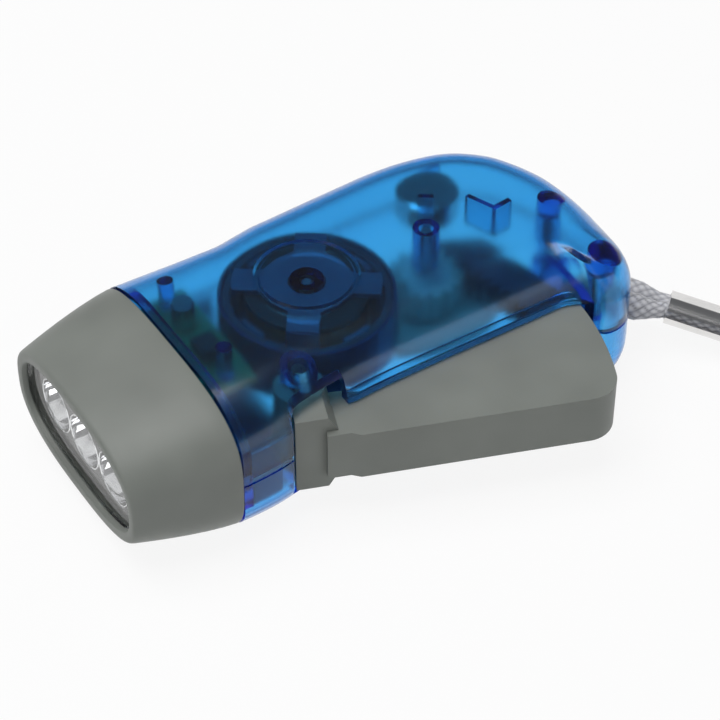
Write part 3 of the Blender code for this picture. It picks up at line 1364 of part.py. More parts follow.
FERRULE_AXES = ferrule_frame()
FERRULE_MIDDLE = Vector(FERRULE_START) + FERRULE_AXES[0] * FERRULE_LENGTH / 2

# The routes' points in millimetres: tail to ferrule, then the loop, folded in on itself,
# as x, y and the share of the way down to the floor.
NEAR_STRAND_MM = [
    (97.6, -15.3, -4.5), (99.6, -15.3, -4.5), (101.2, -15.6, -4.6), (102.6, -16.5, -5.0),
    (104.0, -17.7, -5.4), (105.8, -18.9, -5.8), (107.4, -19.9, -6.1),
]
FAR_STRAND_MM = [
    (98.7, -9.9, -4.5), (101.4, -10.0, -4.6), (104.0, -10.9, -5.4), (106.2, -12.6, -6.4),
    (108.2, -14.6, -7.1), (109.7, -16.2, -7.5),
]
LOOP_MM = [
    (119.9, -33.3, 0.29), (121.6, -37.2, 0.67), (121.4, -42.2, 0.92), (118.0, -48.6, 1.0),
    (112.8, -56.0, 1.0), (107.2, -63.6, 1.0), (102.8, -71.2, 1.0), (102.2, -79.0, 1.0),
    (106.2, -85.6, 1.0), (113.6, -88.4, 1.0), (123.8, -88.5, 1.0), (134.0, -88.1, 1.0),
    (141.0, -85.2, 1.0), (143.9, -78.2, 1.0), (141.0, -71.2, 1.0), (134.0, -68.2, 1.0),
    (126.9, -65.4, 1.0), (124.2, -58.8, 1.0), (126.9, -52.2, 1.0), (134.0, -49.5, 1.0),
    (140.5, -47.0, 1.0), (143.0, -41.2, 1.0), (140.4, -35.4, 1.0), (134.2, -33.2, 0.92),
    (127.8, -32.4, 0.67), (123.3, -30.2, 0.29),
]
LOOP_FLOOR = -12.1 * MM


def cord_route():
    """The whole route, with a share of the full radius at each point."""
    along, across, _ = FERRULE_AXES
    start = Vector(FERRULE_START)

    def through(way):
        inside = start + across * way * STRAND_PITCH / 2
        return [tuple(inside + along * FERRULE_LENGTH * share) for share in (0.0, 0.5, 1.0)]

    def loop():
        found = []
        for number, (x, y, sunk) in enumerate(LOOP_MM):
            mouth = through(-1 if number < len(LOOP_MM) / 2 else 1)[-1][2]
            found.append((x * MM, y * MM, mouth + (LOOP_FLOOR - mouth) * sunk))
        return found

    near = [(x * MM, y * MM, z * MM) for x, y, z in NEAR_STRAND_MM]
    far = [(x * MM, y * MM, z * MM) for x, y, z in FAR_STRAND_MM]
    points = near + through(-1) + loop() + list(reversed(through(1))) + list(reversed(far))
    return smooth_line(points, CORD_STEP)


def crimp_share(place):
    """The strands narrow where the ferrule holds them."""
    from_middle = Vector(place) - FERRULE_MIDDLE
    beyond = abs(from_middle.dot(FERRULE_AXES[0])) - FERRULE_LENGTH / 2
    if from_middle.length > 2.0 * FERRULE_LENGTH:
        beyond = FERRULE_LENGTH
    eased = min(1.0, max(0.0, (beyond - CRIMP_START) / (CRIMP_EASE)))
    crimped = CRIMPED_RADIUS / CORD_RADIUS
    return crimped + (1.0 - crimped) * eased


def make_cord():
    points = cord_route()
    line = bpy.data.curves.new("wrist_cord", "CURVE")
    line.dimensions = "3D"
    line.bevel_depth = CORD_RADIUS
    line.bevel_resolution = 2
    line.use_fill_caps = True
    spline = line.splines.new("POLY")
    spline.points.add(len(points) - 1)
    for point, place in zip(spline.points, points):
        point.co = (*place, 1.0)
        point.radius = crimp_share(place)
    thing = bpy.data.objects.new("wrist_cord", line)
    thing.location = (0.0, 0.0, HALF_HEIGHT)
    line.materials.append(CORD_WHITE)
    PARTS.objects.link(thing)
    lengths = [0.0]
    for one, two in zip(points[:-1], points[1:]):
        lengths.append(lengths[-1] + math.dist(one, two))
    least = min(
        math.dist(one, two) - CORD_RADIUS * (crimp_share(one) + crimp_share(two))
        for place, one in enumerate(points)
        for other, two in enumerate(points)
        if lengths[other] - lengths[place] > 6.0 * CORD_RADIUS
    )
    print("cord, least gap to itself in mm:", round(least / MM, 3))
    print("cord, length in mm:", round(lengths[-1] / MM, 1), "points:", len(points))
    return thing


def make_ferrule():
    """A sheet-metal crimp folded round both strands, with its edges left a slot apart."""
    inner = CRIMPED_RADIUS + GAP
    outer = inner + FERRULE_WALL
    half_slot = math.radians(16.0)
    steps = 7

    def side(radius, slot):
        points = []
        for step in range(steps + 1):
            angle = math.pi + slot + (math.pi / 2 - slot) * step / steps
            points.append((
                radius * math.cos(angle) - STRAND_PITCH / 2, radius * math.sin(angle)))
        for step in range(2 * steps + 1):
            angle = -math.pi / 2 + math.pi * step / (2 * steps)
            points.append((
                radius * math.cos(angle) + STRAND_PITCH / 2, radius * math.sin(angle)))
        for step in range(steps + 1):
            angle = math.pi / 2 + (math.pi / 2 - slot) * step / steps
            points.append((
                radius * math.cos(angle) - STRAND_PITCH / 2, radius * math.sin(angle)))
        return points

    made = prism(side(outer, half_slot) + list(reversed(side(inner, half_slot))),
                 0.0, FERRULE_LENGTH)
    along, across, over = FERRULE_AXES
    turn = Matrix((
        (across.x, over.x, along.x, 0), (across.y, over.y, along.y, 0),
        (across.z, over.z, along.z, 0), (0, 0, 0, 1),
    ))
    bmesh.ops.transform(made, matrix=turn, verts=made.verts)
    return keep("cord_ferrule", made, CHROME, FERRULE_START)


def make_knot():
    """The cord's ends, knotted behind the tail wall: a lump taller than the hole."""
    made = bmesh.new()
    bmesh.ops.create_icosphere(made, subdivisions=3, radius=1.0)
    for vert in made.verts:
        turn = math.atan2(vert.co.z, vert.co.y)
        swell = 1.0 + 0.04 * math.sin(3 * turn + 4.0 * vert.co.x)
        vert.co = Vector((vert.co.x * KNOT_SIZE[0] * swell, vert.co.y * KNOT_SIZE[1] * swell,
                          vert.co.z * KNOT_SIZE[2] * swell))
    return keep("cord_knot", made, CORD_WHITE, (*KNOT_PLACE, -CORD_HOLE[1]))


make_cord()
make_ferrule()
make_knot()


# Frame
ON_THE_CORD = ("wrist_cord", "cord_ferrule", "cord_knot")


def stand_on_origin():
    """Moves everything so that the torch without its cord stands centred on the origin."""
    bpy.context.view_layer.update()
    depsgraph = bpy.context.evaluated_depsgraph_get()
    corners = []
    for item in PARTS.objects:
        if item.name in ON_THE_CORD:
            continue
        whole = item.evaluated_get(depsgraph)
        corners.extend(item.matrix_world @ vert.co for vert in whole.to_mesh().vertices)
    middle = [
        (min(corner[k] for corner in corners) + max(corner[k] for corner in corners)) / 2
        for k in (0, 1)
    ]
    for item in list(PARTS.objects) + list(TOOLS.objects):
        item.location.x -= middle[0]
        item.location.y -= middle[1]
    print("moved by, in mm:", round(-middle[0] / MM, 3), round(-middle[1] / MM, 3))


stand_on_origin()
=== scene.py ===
"""Dresses the dynamo flashlight: finishes, camera, light, cord and finer meshes.

The drawing frame is the source's: X from the lamp end to the tail, Y from the lever
side to the far side, Z up from the seam. ORIGIN moves it to the row's frame.
"""
import math

import bmesh
import bpy
from mathutils import Matrix, Vector


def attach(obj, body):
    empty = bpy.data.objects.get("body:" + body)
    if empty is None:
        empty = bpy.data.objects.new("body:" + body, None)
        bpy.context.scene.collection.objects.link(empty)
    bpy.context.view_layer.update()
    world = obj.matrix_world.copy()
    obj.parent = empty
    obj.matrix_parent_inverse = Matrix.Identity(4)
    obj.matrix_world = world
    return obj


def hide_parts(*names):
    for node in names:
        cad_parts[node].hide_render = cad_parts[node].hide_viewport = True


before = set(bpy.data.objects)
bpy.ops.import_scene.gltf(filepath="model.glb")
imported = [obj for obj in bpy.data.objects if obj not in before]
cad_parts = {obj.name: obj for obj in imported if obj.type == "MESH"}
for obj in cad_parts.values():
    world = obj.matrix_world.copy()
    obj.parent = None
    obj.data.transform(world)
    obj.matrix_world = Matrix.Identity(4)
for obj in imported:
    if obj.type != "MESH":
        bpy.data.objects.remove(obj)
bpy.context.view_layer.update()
SCENE = bpy.context.scene

MM = 0.001
ORIGIN = Vector((-0.050739, 0.008559, 0.0146))
UP = Vector((0.0, 0.0, 1.0))

# The torch's own sizes, as in the source
HALF_HEIGHT = 14.6 * MM
HEAD_LENGTH = 19.0 * MM
SHELL_START = 19.3 * MM
SHELL_WALL = 1.7 * MM
SEAM_GAP = 0.4 * MM
EDGE_RADIUS = 9.0 * MM
HEAD_EDGE_RUN = 14.0 * MM
TAIL_EDGE_RUN = 6.5 * MM
PIVOT = (35.0 * MM, -14.8 * MM)
OPEN_ANGLE = math.radians(20.0)
LEVER_REACH = 54.1 * MM
ROTOR_AXIS = (47.0 * MM, 1.9 * MM)
FIRST_AXIS = (71.6446 * MM, 2.2098 * MM)
SECOND_AXIS = (56.8348 * MM, 8.7758 * MM)
TAIL_POST_B = (94.8 * MM, -2.6 * MM)
TAIL_POST_C = (94.3 * MM, -19.0 * MM)
CORD_RADIUS = 2.45 * MM


# Camera
AZIMUTH = math.radians(-32.3)
ELEVATION = math.radians(43.6)
FOCAL_LENGTH = 124.37            # in millimetres, as Blender takes it
SENSOR_WIDTH = 36.0
CAMERA_AIM = Vector((51.62 * MM, -7.84 * MM, 0.0))
CAMERA_DISTANCE = 430.6 * MM


def make_camera():
    """The photograph's own viewpoint, fitted to the torch's known sizes."""
    back = Vector((
        math.sin(AZIMUTH) * math.cos(ELEVATION),
        -math.cos(AZIMUTH) * math.cos(ELEVATION),
        math.sin(ELEVATION),
    ))
    lens = bpy.data.cameras.new("camera")
    lens.lens = FOCAL_LENGTH
    lens.sensor_width = SENSOR_WIDTH
    camera = bpy.data.objects.new("camera", lens)
    camera.location = ORIGIN + CAMERA_AIM + back * CAMERA_DISTANCE
    camera.rotation_euler = (-back).to_track_quat("-Z", "Y").to_euler()
    SCENE.collection.objects.link(camera)
    SCENE.camera = camera


make_camera()


# Finishes
class Finish:
    """A material under construction: its nodes are added and joined by short calls."""

    def __init__(self, name):
        self.material = bpy.data.materials.new(name)
        self.material.use_nodes = True
        self.tree = self.material.node_tree
        self.shader = self.tree.nodes["Principled BSDF"]
        self.output = self.tree.nodes["Material Output"]
        self.where = None

    def node(self, kind, **settings):
        made = self.tree.nodes.new(kind)
        for key, value in settings.items():
            setattr(made, key, value)
        return made

    def join(self, source, target):
        self.tree.links.new(source, target)

    def set(self, **values):
        for key, value in values.items():
            self.shader.inputs[key.replace("_", " ")].default_value = value

    def place(self, scale=(1.0, 1.0, 1.0)):
        """Object coordinates, stretched where a pattern has a direction."""
        if self.where is None:
            self.where = self.node("ShaderNodeTexCoord")
        mapping = self.node("ShaderNodeMapping")
        mapping.inputs["Scale"].default_value = scale
        self.join(self.where.outputs["Object"], mapping.inputs["Vector"])
        return mapping.outputs["Vector"]

    def noise(self, scale, detail=3.0, rough=0.5, stretch=(1.0, 1.0, 1.0)):
        made = self.node("ShaderNodeTexNoise")
        made.inputs["Scale"].default_value = scale
        made.inputs["Detail"].default_value = detail
        made.inputs["Roughness"].default_value = rough
        self.join(self.place(stretch), made.inputs["Vector"])
        return made.outputs["Fac"]

    def ramp(self, value, stops):
        """Turns a value into colours or greys at the given places."""
        made = self.node("ShaderNodeValToRGB")
        line = made.color_ramp
        for number, (at, colour) in enumerate(stops):
            stop = line.elements[number] if number < 2 else line.elements.new(at)
            stop.position = at
            stop.color = (*colour, 1.0) if isinstance(colour, tuple) else (colour,) * 3 + (1.0,)
        self.join(value, made.inputs["Fac"])
        return made.outputs["Color"]

    def span(self, value, low, high):
        """Maps a 0 to 1 value onto a range."""
        made = self.node("ShaderNodeMapRange")
        made.inputs["To Min"].default_value = low
        made.inputs["To Max"].default_value = high
        self.join(value, made.inputs["Value"])
        return made.outputs["Result"]

    def colour(self, source):
        self.join(source, self.shader.inputs["Base Color"])

    def roughness(self, source):
        self.join(source, self.shader.inputs["Roughness"])

    def bump(self, height, distance, strength=1.0):
        made = self.node("ShaderNodeBump")
        made.inputs["Distance"].default_value = distance
        made.inputs["Strength"].default_value = strength
        self.join(height, made.inputs["Height"])
        self.join(made.outputs["Normal"], self.shader.inputs["Normal"])


def moulded_plastic(name, colour, roughness, grain=2600.0, depth=0.006 * MM, spread=0.10):
    """Moulded plastic: a fine spark-eroded grain and a faint drift in tone and gloss."""
    look = Finish(name)
    drift = look.noise(55.0, 2.0)
    dark = tuple(channel * (1.0 - spread) for channel in colour)
    light = tuple(min(1.0, channel * (1.0 + spread)) for channel in colour)
    look.colour(look.ramp(drift, [(0.3, dark), (0.7, light)]))
    look.roughness(look.span(look.noise(420.0, 4.0), roughness - 0.05, roughness + 0.06))
    look.bump(look.noise(grain, 2.0, 0.6), depth)
    return look


def metal(name, colour, roughness, brushed=(1.0, 1.0, 1.0)):
    """Bare or plated metal: a drifting tone, and fine marks along the brushed direction."""
    marks = 900.0
    look = Finish(name)
    look.set(Metallic=1.0)
    dark = tuple(channel * 0.86 for channel in colour)
    look.colour(look.ramp(look.noise(160.0, 3.0), [(0.3, dark), (0.75, colour)]))
    look.roughness(look.span(look.noise(marks, 4.0, 0.6, brushed), roughness * 0.75,
                             roughness * 1.3))
    look.bump(look.noise(marks * 2.0, 3.0, 0.6, brushed), 0.003 * MM)
    return look


def translucent_blue():
    """Blue moulded plastic, tinted at its faces and, more deeply, through its thickness."""
    look = Finish("translucent_blue")
    look.set(Transmission_Weight=1.0, IOR=1.49)
    look.colour(look.ramp(look.noise(60.0, 2.0), [(0.3, (0.60, 0.94, 0.98)),
                                                 (0.7, (0.64, 0.97, 1.0))]))
    look.roughness(look.span(look.noise(240.0, 3.0), 0.17, 0.23))
    look.bump(look.noise(1500.0, 2.0), 0.002 * MM)
    tint = look.node("ShaderNodeVolumeAbsorption")
    tint.inputs["Color"].default_value = (0.02, 0.64, 0.95, 1.0)
    tint.inputs["Density"].default_value = 600.0
    look.join(tint.outputs["Volume"], look.output.inputs["Volume"])
    return look


def clear_plastic():
    """The thin window; its low index keeps the cups behind it in view."""
    look = Finish("clear_lens")
    look.set(Base_Color=(0.96, 0.97, 0.97, 1.0), Transmission_Weight=1.0, IOR=1.18)
    look.roughness(look.span(look.noise(300.0, 3.0), 0.01, 0.03))
    return look


def lamp_epoxy():
    """The lamps' clear epoxy, a little milky."""
    look = Finish("lamp_epoxy")
    look.set(Transmission_Weight=0.55, IOR=1.5, Coat_Weight=0.4)
    look.colour(look.ramp(look.noise(300.0, 2.0), [(0.3, (0.82, 0.83, 0.78)),
                                                  (0.7, (0.93, 0.93, 0.88))]))
    look.roughness(look.span(look.noise(500.0), 0.05, 0.12))
    return look


def circuit_board():
    """Dark green mask in small cells, with paler raised runs between them."""
    look = Finish("circuit_board")
    cells = look.node("ShaderNodeTexBrick")
    cells.inputs["Scale"].default_value = 260.0
    cells.inputs["Mortar Size"].default_value = 0.06
    cells.inputs["Color1"].default_value = (0.02, 0.15, 0.06, 1.0)
    cells.inputs["Color2"].default_value = (0.03, 0.20, 0.09, 1.0)
    cells.inputs["Mortar"].default_value = (0.05, 0.27, 0.12, 1.0)
    look.join(look.place(), cells.inputs["Vector"])
    look.colour(cells.outputs["Color"])
    look.roughness(look.span(look.noise(700.0), 0.28, 0.42))
    look.bump(cells.outputs["Fac"], 0.03 * MM, 0.6)
    return look


def braid_fabric():
    """Braided cord: painted shade darkens the grooves between the yarn bundles, by the height that
    the mesh carries.
    """
    look = Finish("braided_cord")
    height = look.node("ShaderNodeAttribute", attribute_name="yarn_height")
    # painted shade: the colour goes from the nylon's pale grey on the yarns' crowns to dark grey in
    # the low grooves
    look.colour(look.ramp(height.outputs["Fac"], [(0.0, (0.26, 0.26, 0.29)),
                                                  (0.45, (0.52, 0.52, 0.55)),
                                                  (1.0, (0.80, 0.80, 0.82))]))
    look.roughness(look.span(look.noise(900.0), 0.55, 0.8))
    look.set(Sheen_Weight=0.3, Sheen_Roughness=0.5)
    look.bump(look.noise(5200.0, 3.0, 0.7), 0.05 * MM, 0.7)
    return look


def winding_copper():
    """Lacquered copper wire, wound in close rows."""
    look = Finish("copper_winding")
    look.set(Metallic=1.0, Coat_Weight=0.5)
    look.colour(look.ramp(look.noise(500.0, 3.0), [(0.3, (0.42, 0.14, 0.05)),
                                                  (0.7, (0.68, 0.27, 0.10))]))
    look.roughness(look.span(look.noise(900.0), 0.25, 0.4))
    rows = look.node("ShaderNodeTexWave", wave_type="BANDS", bands_direction="Z")
    rows.inputs["Scale"].default_value = 1400.0
    look.join(look.place(), rows.inputs["Vector"])
    look.bump(rows.outputs["Fac"], 0.06 * MM)
    return look


BLUE = translucent_blue()
GREY = moulded_plastic("grey_plastic", (0.205, 0.219, 0.200), 0.46)
GREY.set(Specular_IOR_Level=0.35)
CLEAR = clear_plastic()
CHROME = metal("bright_chrome", (0.86, 0.86, 0.87), 0.07)
FERRULE_CHROME = metal("plated_ferrule", (0.80, 0.79, 0.78), 0.16, (1.0, 1.0, 0.2))
DARK_PLATE = moulded_plastic("dark_plate", (0.022, 0.020, 0.018), 0.50)
RACK = moulded_plastic("greased_black_rack", (0.045, 0.046, 0.085), 0.34)
PLATE = metal("pole_plate_steel", (0.22, 0.25, 0.38), 0.42)
EPOXY = lamp_epoxy()
BOARD = circuit_board()
STEEL = metal("bright_steel", (0.55, 0.55, 0.54), 0.28)
BLUED_STEEL = metal("blued_steel", (0.075, 0.085, 0.20), 0.42)
MAGNET = moulded_plastic("sintered_magnet", (0.050, 0.052, 0.085), 0.6, 1800.0, 0.02 * MM)
COPPER = winding_copper()
NYLON = moulded_plastic("natural_nylon", (0.66, 0.66, 0.62), 0.42)
# painted shade: a dark blue sheet put inside the lower shell where the head blocks the light from
# below
SHADE_SHEET = moulded_plastic("painted_shade_sleeve", (0.020, 0.070, 0.205), 0.40)
BLACK = moulded_plastic("black_plastic", (0.022, 0.022, 0.024), 0.38)
CELL = metal("plated_cell", (0.62, 0.63, 0.64), 0.24)
CORD = braid_fabric()


def dress(look, *nodes):
    """Gives CAD nodes a finish, and leaves their meshes alone."""
    for name in nodes:
        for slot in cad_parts[name].material_slots:
            slot.material = look.material


# Making meshes
def in_metres(points):
    """Points that are given in millimetres."""
    return [tuple(value * MM for value in point) for point in points]


SHARP_ANGLE = math.radians(35.0)


def finish_piece(name, mesh_data, look, body, weighted=False, second=None):
    """Moves a drawing-frame mesh to the row's frame, and lets it ride on a body.

    Slot 1 of the mesh takes the second finish, if there is one.
    """
    bmesh.ops.translate(mesh_data, vec=ORIGIN, verts=mesh_data.verts)
    bmesh.ops.recalc_face_normals(mesh_data, faces=mesh_data.faces)
    mesh = bpy.data.meshes.new(name)
    mesh_data.to_mesh(mesh)
    mesh_data.free()
    thing = bpy.data.objects.new(name, mesh)
    SCENE.collection.objects.link(thing)
    mesh.materials.append(look.material)
    if second is not None:
        mesh.materials.append(second.material)
    mesh.polygons.foreach_set("use_smooth", [True] * len(mesh.polygons))
    mesh.set_sharp_from_angle(angle=SHARP_ANGLE)
    if weighted:
        even = thing.modifiers.new("even_shading", "WEIGHTED_NORMAL")
        even.keep_sharp = True
    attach(thing, body)
    return thing


def worked_mesh(base, steps):
    """Runs Boolean steps over a solid and returns the result.

    Each step is (solid, operation), or (solid, operation, slot) where the faces that it
    leaves get another material slot.
    """
    mesh = bpy.data.meshes.new("work")
    bmesh.ops.recalc_face_normals(base, faces=base.faces)
    base.to_mesh(mesh)
    base.free()
    target = bpy.data.objects.new("work", mesh)
    SCENE.collection.objects.link(target)
    helpers = [target]
    for number, (solid, operation, *slots) in enumerate(steps):
        data = bpy.data.meshes.new(f"helper_{number}")
        bmesh.ops.recalc_face_normals(solid, faces=solid.faces)
        for slot in slots:
            for face in solid.faces:
                face.material_index = slot
        solid.to_mesh(data)
        solid.free()
        helper = bpy.data.objects.new(f"helper_{number}", data)
        SCENE.collection.objects.link(helper)
        helpers.append(helper)
        step = target.modifiers.new(f"step_{number}", "BOOLEAN")
        step.operation = operation
        step.solver = "EXACT"
        step.object = helper
    depsgraph = bpy.context.evaluated_depsgraph_get()
    result = bpy.data.meshes.new_from_object(target.evaluated_get(depsgraph))
    for helper in helpers:
        old = helper.data
        bpy.data.objects.remove(helper, do_unlink=True)
        bpy.data.meshes.remove(old)
    made = bmesh.new()
    made.from_mesh(result)
    bpy.data.meshes.remove(result)
    return made


def add_prism(made, points, low, high):
    """Adds an upright prism over a plan outline."""
    bottom = [made.verts.new((x, y, low)) for x, y in points]
    top = [made.verts.new((x, y, high)) for x, y in points]
    made.faces.new(list(reversed(bottom)))
    made.faces.new(top)
    for one in range(len(points)):
        two = (one + 1) % len(points)
        made.faces.new((bottom[one], bottom[two], top[two], top[one]))


def prism(points, low, high):
    made = bmesh.new()
    add_prism(made, points, low, high)
    return made


def block(x_span, y_span, low, high):
    """A plain box between two X and two Y values, in millimetres, and two levels."""
    (left, right), (near, far) = x_span, y_span
    corners = [(left, near), (right, near), (right, far), (left, far)]
    return prism(in_metres(corners), low, high)


def circle(radius, count, centre=(0.0, 0.0)):
    return [
        (centre[0] + radius * math.cos(math.tau * step / count),
         centre[1] + radius * math.sin(math.tau * step / count))
        for step in range(count)
    ]


def arc(radius, first, last, count, centre=(0.0, 0.0)):
    """Points along an arc, with both of its ends."""
    angles = [first + (last - first) * step / count for step in range(count + 1)]
    return [(centre[0] + radius * math.cos(angle), centre[1] + radius * math.sin(angle))
            for angle in angles]


def arc_band(inner, outer, first, last, count, centre):
    """The plan outline of a band between two radii and two angles."""
    return (arc(outer, first, last, count, centre)
            + list(reversed(arc(inner, first, last, count, centre))))


def loft(made, rings, wrap=False):
    """Skins equal rings of points, with capped ends or the last ring joined to the first."""
    rows = [[made.verts.new(point) for point in ring] for ring in rings]
    pairs = list(zip(rows[:-1], rows[1:]))
    if wrap:
        pairs.append((rows[-1], rows[0]))
    for one, two in pairs:
        for step in range(len(one)):
            after = (step + 1) % len(one)
            made.faces.new((one[step], one[after], two[after], two[step]))
    if not wrap:
        made.faces.new(list(reversed(rows[0])))
        made.faces.new(rows[-1])


def lathe(profile, steps, centre=(0.0, 0.0)):
    """A turned solid from a closed (radius, height) section; points on the axis are poles."""
    made = bmesh.new()
    rings = []
    for radius, height in profile:
        if radius <= 0.0:
            rings.append([made.verts.new((centre[0], centre[1], height))])
        else:
            rings.append([made.verts.new((x, y, height)) for x, y in circle(radius, steps, centre)])
    for number, one in enumerate(rings):
        two = rings[(number + 1) % len(rings)]
        if len(one) == 1 and len(two) == 1:
            continue
        for step in range(steps):
            after = (step + 1) % steps
            corners = [one[step % len(one)], one[after % len(one)],
                       two[after % len(two)], two[step % len(two)]]
            unique = list(dict.fromkeys(corners))
            made.faces.new(unique)
    return made


def lying_along_x(made):
    """Turns an upright solid so that its Z runs along X, and its X along Y."""
    turn = Matrix(((0, 0, 1, 0), (1, 0, 0, 0), (0, 1, 0, 0), (0, 0, 0, 1)))
    bmesh.ops.transform(made, matrix=turn, verts=made.verts)
    return made


def standing_along_y(made):
    """Turns an upright solid so that its outline stands in XZ and its Z runs against Y."""
    turn = Matrix(((1, 0, 0, 0), (0, 0, -1, 0), (0, 1, 0, 0), (0, 0, 0, 1)))
    bmesh.ops.transform(made, matrix=turn, verts=made.verts)
    return made


def mirrored(made):
    """The lower half from the upper one."""
    bmesh.ops.scale(made, vec=(1.0, 1.0, -1.0), verts=made.verts)
    return made


SPLINE_PARTS = 8


def smooth_line(points, step):
    """An open Catmull-Rom line through the points, evenly spaced."""
    dense = []
    for place in range(len(points) - 1):
        p0 = points[max(place - 1, 0)]
        p1, p2 = points[place], points[place + 1]
        p3 = points[min(place + 2, len(points) - 1)]
        for part in range(SPLINE_PARTS):
            t = part / SPLINE_PARTS
            dense.append(tuple(
                0.5 * (2 * p1[k] + (p2[k] - p0[k]) * t
                       + (2 * p0[k] - 5 * p1[k] + 4 * p2[k] - p3[k]) * t * t
                       + (3 * p1[k] - p0[k] - 3 * p2[k] + p3[k]) * t ** 3)
                for k in range(len(p1))
            ))
    dense.append(tuple(points[-1]))
    lengths = [0.0]
    for one, two in zip(dense[:-1], dense[1:]):
        lengths.append(lengths[-1] + math.dist(one, two))
    count = max(2, round(lengths[-1] / step))
    found, place = [], 0
    for number in range(count + 1):
        want = lengths[-1] * number / count
        while place < len(lengths) - 2 and lengths[place + 1] < want:
            place += 1
        span = lengths[place + 1] - lengths[place]
        share = (want - lengths[place]) / span if span else 0.0
        found.append(tuple(
            one + (two - one) * share for one, two in zip(dense[place], dense[place + 1])))
    return found


def smoothed(values, rounds):
    """Evens out a row of tuples, with its two ends held."""
    for _ in range(rounds):
        values = [values[0]] + [
            tuple((a + 2 * b + c) / 4 for a, b, c in zip(values[k - 1], values[k], values[k + 1]))
            for k in range(1, len(values) - 1)
        ] + [values[-1]]
    return values


# Wrist cord: its route first, as the source has it. In LOOP_MM the third figure is the share
# of the way down from the ferrule's mouth to the floor.
FERRULE_START = Vector((110.35, -19.35, -7.2)) * MM
FERRULE_WAY = Vector((0.66, -0.73, -0.18)).normalized()
FERRULE_LENGTH = 14.0 * MM
STRAND_PITCH = 3.7 * MM
STRAND_TILT = math.radians(23.0)
CRIMPED_RADIUS = 1.6 * MM
NEAR_STRAND_MM = [
    (97.6, -15.3, -4.5), (99.6, -15.3, -4.5), (101.2, -15.6, -4.6), (102.6, -16.5, -5.0),
    (104.0, -17.7, -5.4), (105.8, -18.9, -5.8), (107.4, -19.9, -6.1),
]
FAR_STRAND_MM = [
    (98.7, -9.9, -4.5), (101.4, -10.0, -4.6), (104.0, -10.9, -5.4), (106.2, -12.6, -6.4),
    (108.2, -14.6, -7.1), (109.7, -16.2, -7.5),
]
LOOP_MM = [
    (119.9, -33.3, 0.29), (121.6, -37.2, 0.67), (121.4, -42.2, 0.92), (118.0, -48.6, 1.0),
    (112.8, -56.0, 1.0), (107.2, -63.6, 1.0), (102.8, -71.2, 1.0), (102.2, -79.0, 1.0),
    (106.2, -85.6, 1.0), (113.6, -88.4, 1.0), (123.8, -88.5, 1.0), (134.0, -88.1, 1.0),
    (141.0, -85.2, 1.0), (143.9, -78.2, 1.0), (141.0, -71.2, 1.0), (134.0, -68.2, 1.0),
    (126.9, -65.4, 1.0), (124.2, -58.8, 1.0), (126.9, -52.2, 1.0), (134.0, -49.5, 1.0),
    (140.5, -47.0, 1.0), (143.0, -41.2, 1.0), (140.4, -35.4, 1.0), (134.2, -33.2, 0.92),
    (127.8, -32.4, 0.67), (123.3, -30.2, 0.29),
]
LOOP_FLOOR = -12.1 * MM
CRIMP_HOLD = 2.0 * MM            # the crimp's grip goes on this far past the ferrule
CRIMP_EASE = 3.5 * MM            # and is gone after this run
ROUTE_STEP = 0.35 * MM
PATH_STEP = 2.0 * MM
CORD_SIDES = 48
YARN_COUNT = 8
YARN_PITCH = 4.2 * MM
YARN_GROOVE = 0.925              # of the radius, between the yarns
YARN_SWELL = 0.085


def ferrule_axes():
    """The ferrule's own way, and the way from strand to strand across it."""
    level = Vector((-FERRULE_WAY.y, FERRULE_WAY.x, 0.0)).normalized()
    raised = FERRULE_WAY.cross(level) * -1.0
    return FERRULE_WAY, level * math.cos(STRAND_TILT) + raised * math.sin(STRAND_TILT)


def cord_route(step):
    """The cord's middle line: out of the tail, through the ferrule, round and back."""
    along, across = ferrule_axes()

    def through(way):
        inside = FERRULE_START + across * way * STRAND_PITCH / 2
        return [tuple(inside + along * FERRULE_LENGTH * share) for share in (0.0, 0.5, 1.0)]

    def loop():
        found = []
        for number, (x, y, sunk) in enumerate(LOOP_MM):
            mouth = through(-1 if number < len(LOOP_MM) / 2 else 1)[-1][2]
            found.append((x * MM, y * MM, mouth + (LOOP_FLOOR - mouth) * sunk))
        return found

    out = in_metres(NEAR_STRAND_MM) + through(-1)
    back = list(reversed(in_metres(FAR_STRAND_MM) + through(1)))
    return smooth_line(out + loop() + back, step)


def crimp_share(place):
    """What the ferrule's crimp leaves of the cord's radius at a place."""
    middle = FERRULE_START + FERRULE_WAY * FERRULE_LENGTH / 2
    offset = Vector(place) - middle
    beyond = abs(offset.dot(FERRULE_WAY)) - FERRULE_LENGTH / 2
    if offset.length > 2.0 * FERRULE_LENGTH:
        beyond = FERRULE_LENGTH
    eased = min(1.0, max(0.0, (beyond - CRIMP_HOLD) / CRIMP_EASE))
    crimped = CRIMPED_RADIUS / CORD_RADIUS
    return crimped + (1.0 - crimped) * eased


def braid_height(along, around):
    """How far a point stands out, where two families of yarn bundles cross over and under."""
    one = around / math.tau * YARN_COUNT + along / YARN_PITCH * 2.0
    two = around / math.tau * YARN_COUNT - along / YARN_PITCH * 2.0
    cell_one, cell_two = math.floor(one), math.floor(two)
    across_one = math.sin(math.pi * (one - cell_one))
    across_two = math.sin(math.pi * (two - cell_two))
    first_on_top = (cell_one + cell_two) % 2 == 0
    top = across_one if first_on_top else across_two
    run = across_two if first_on_top else across_one
    return (0.35 + 0.65 * run) * top ** 0.6


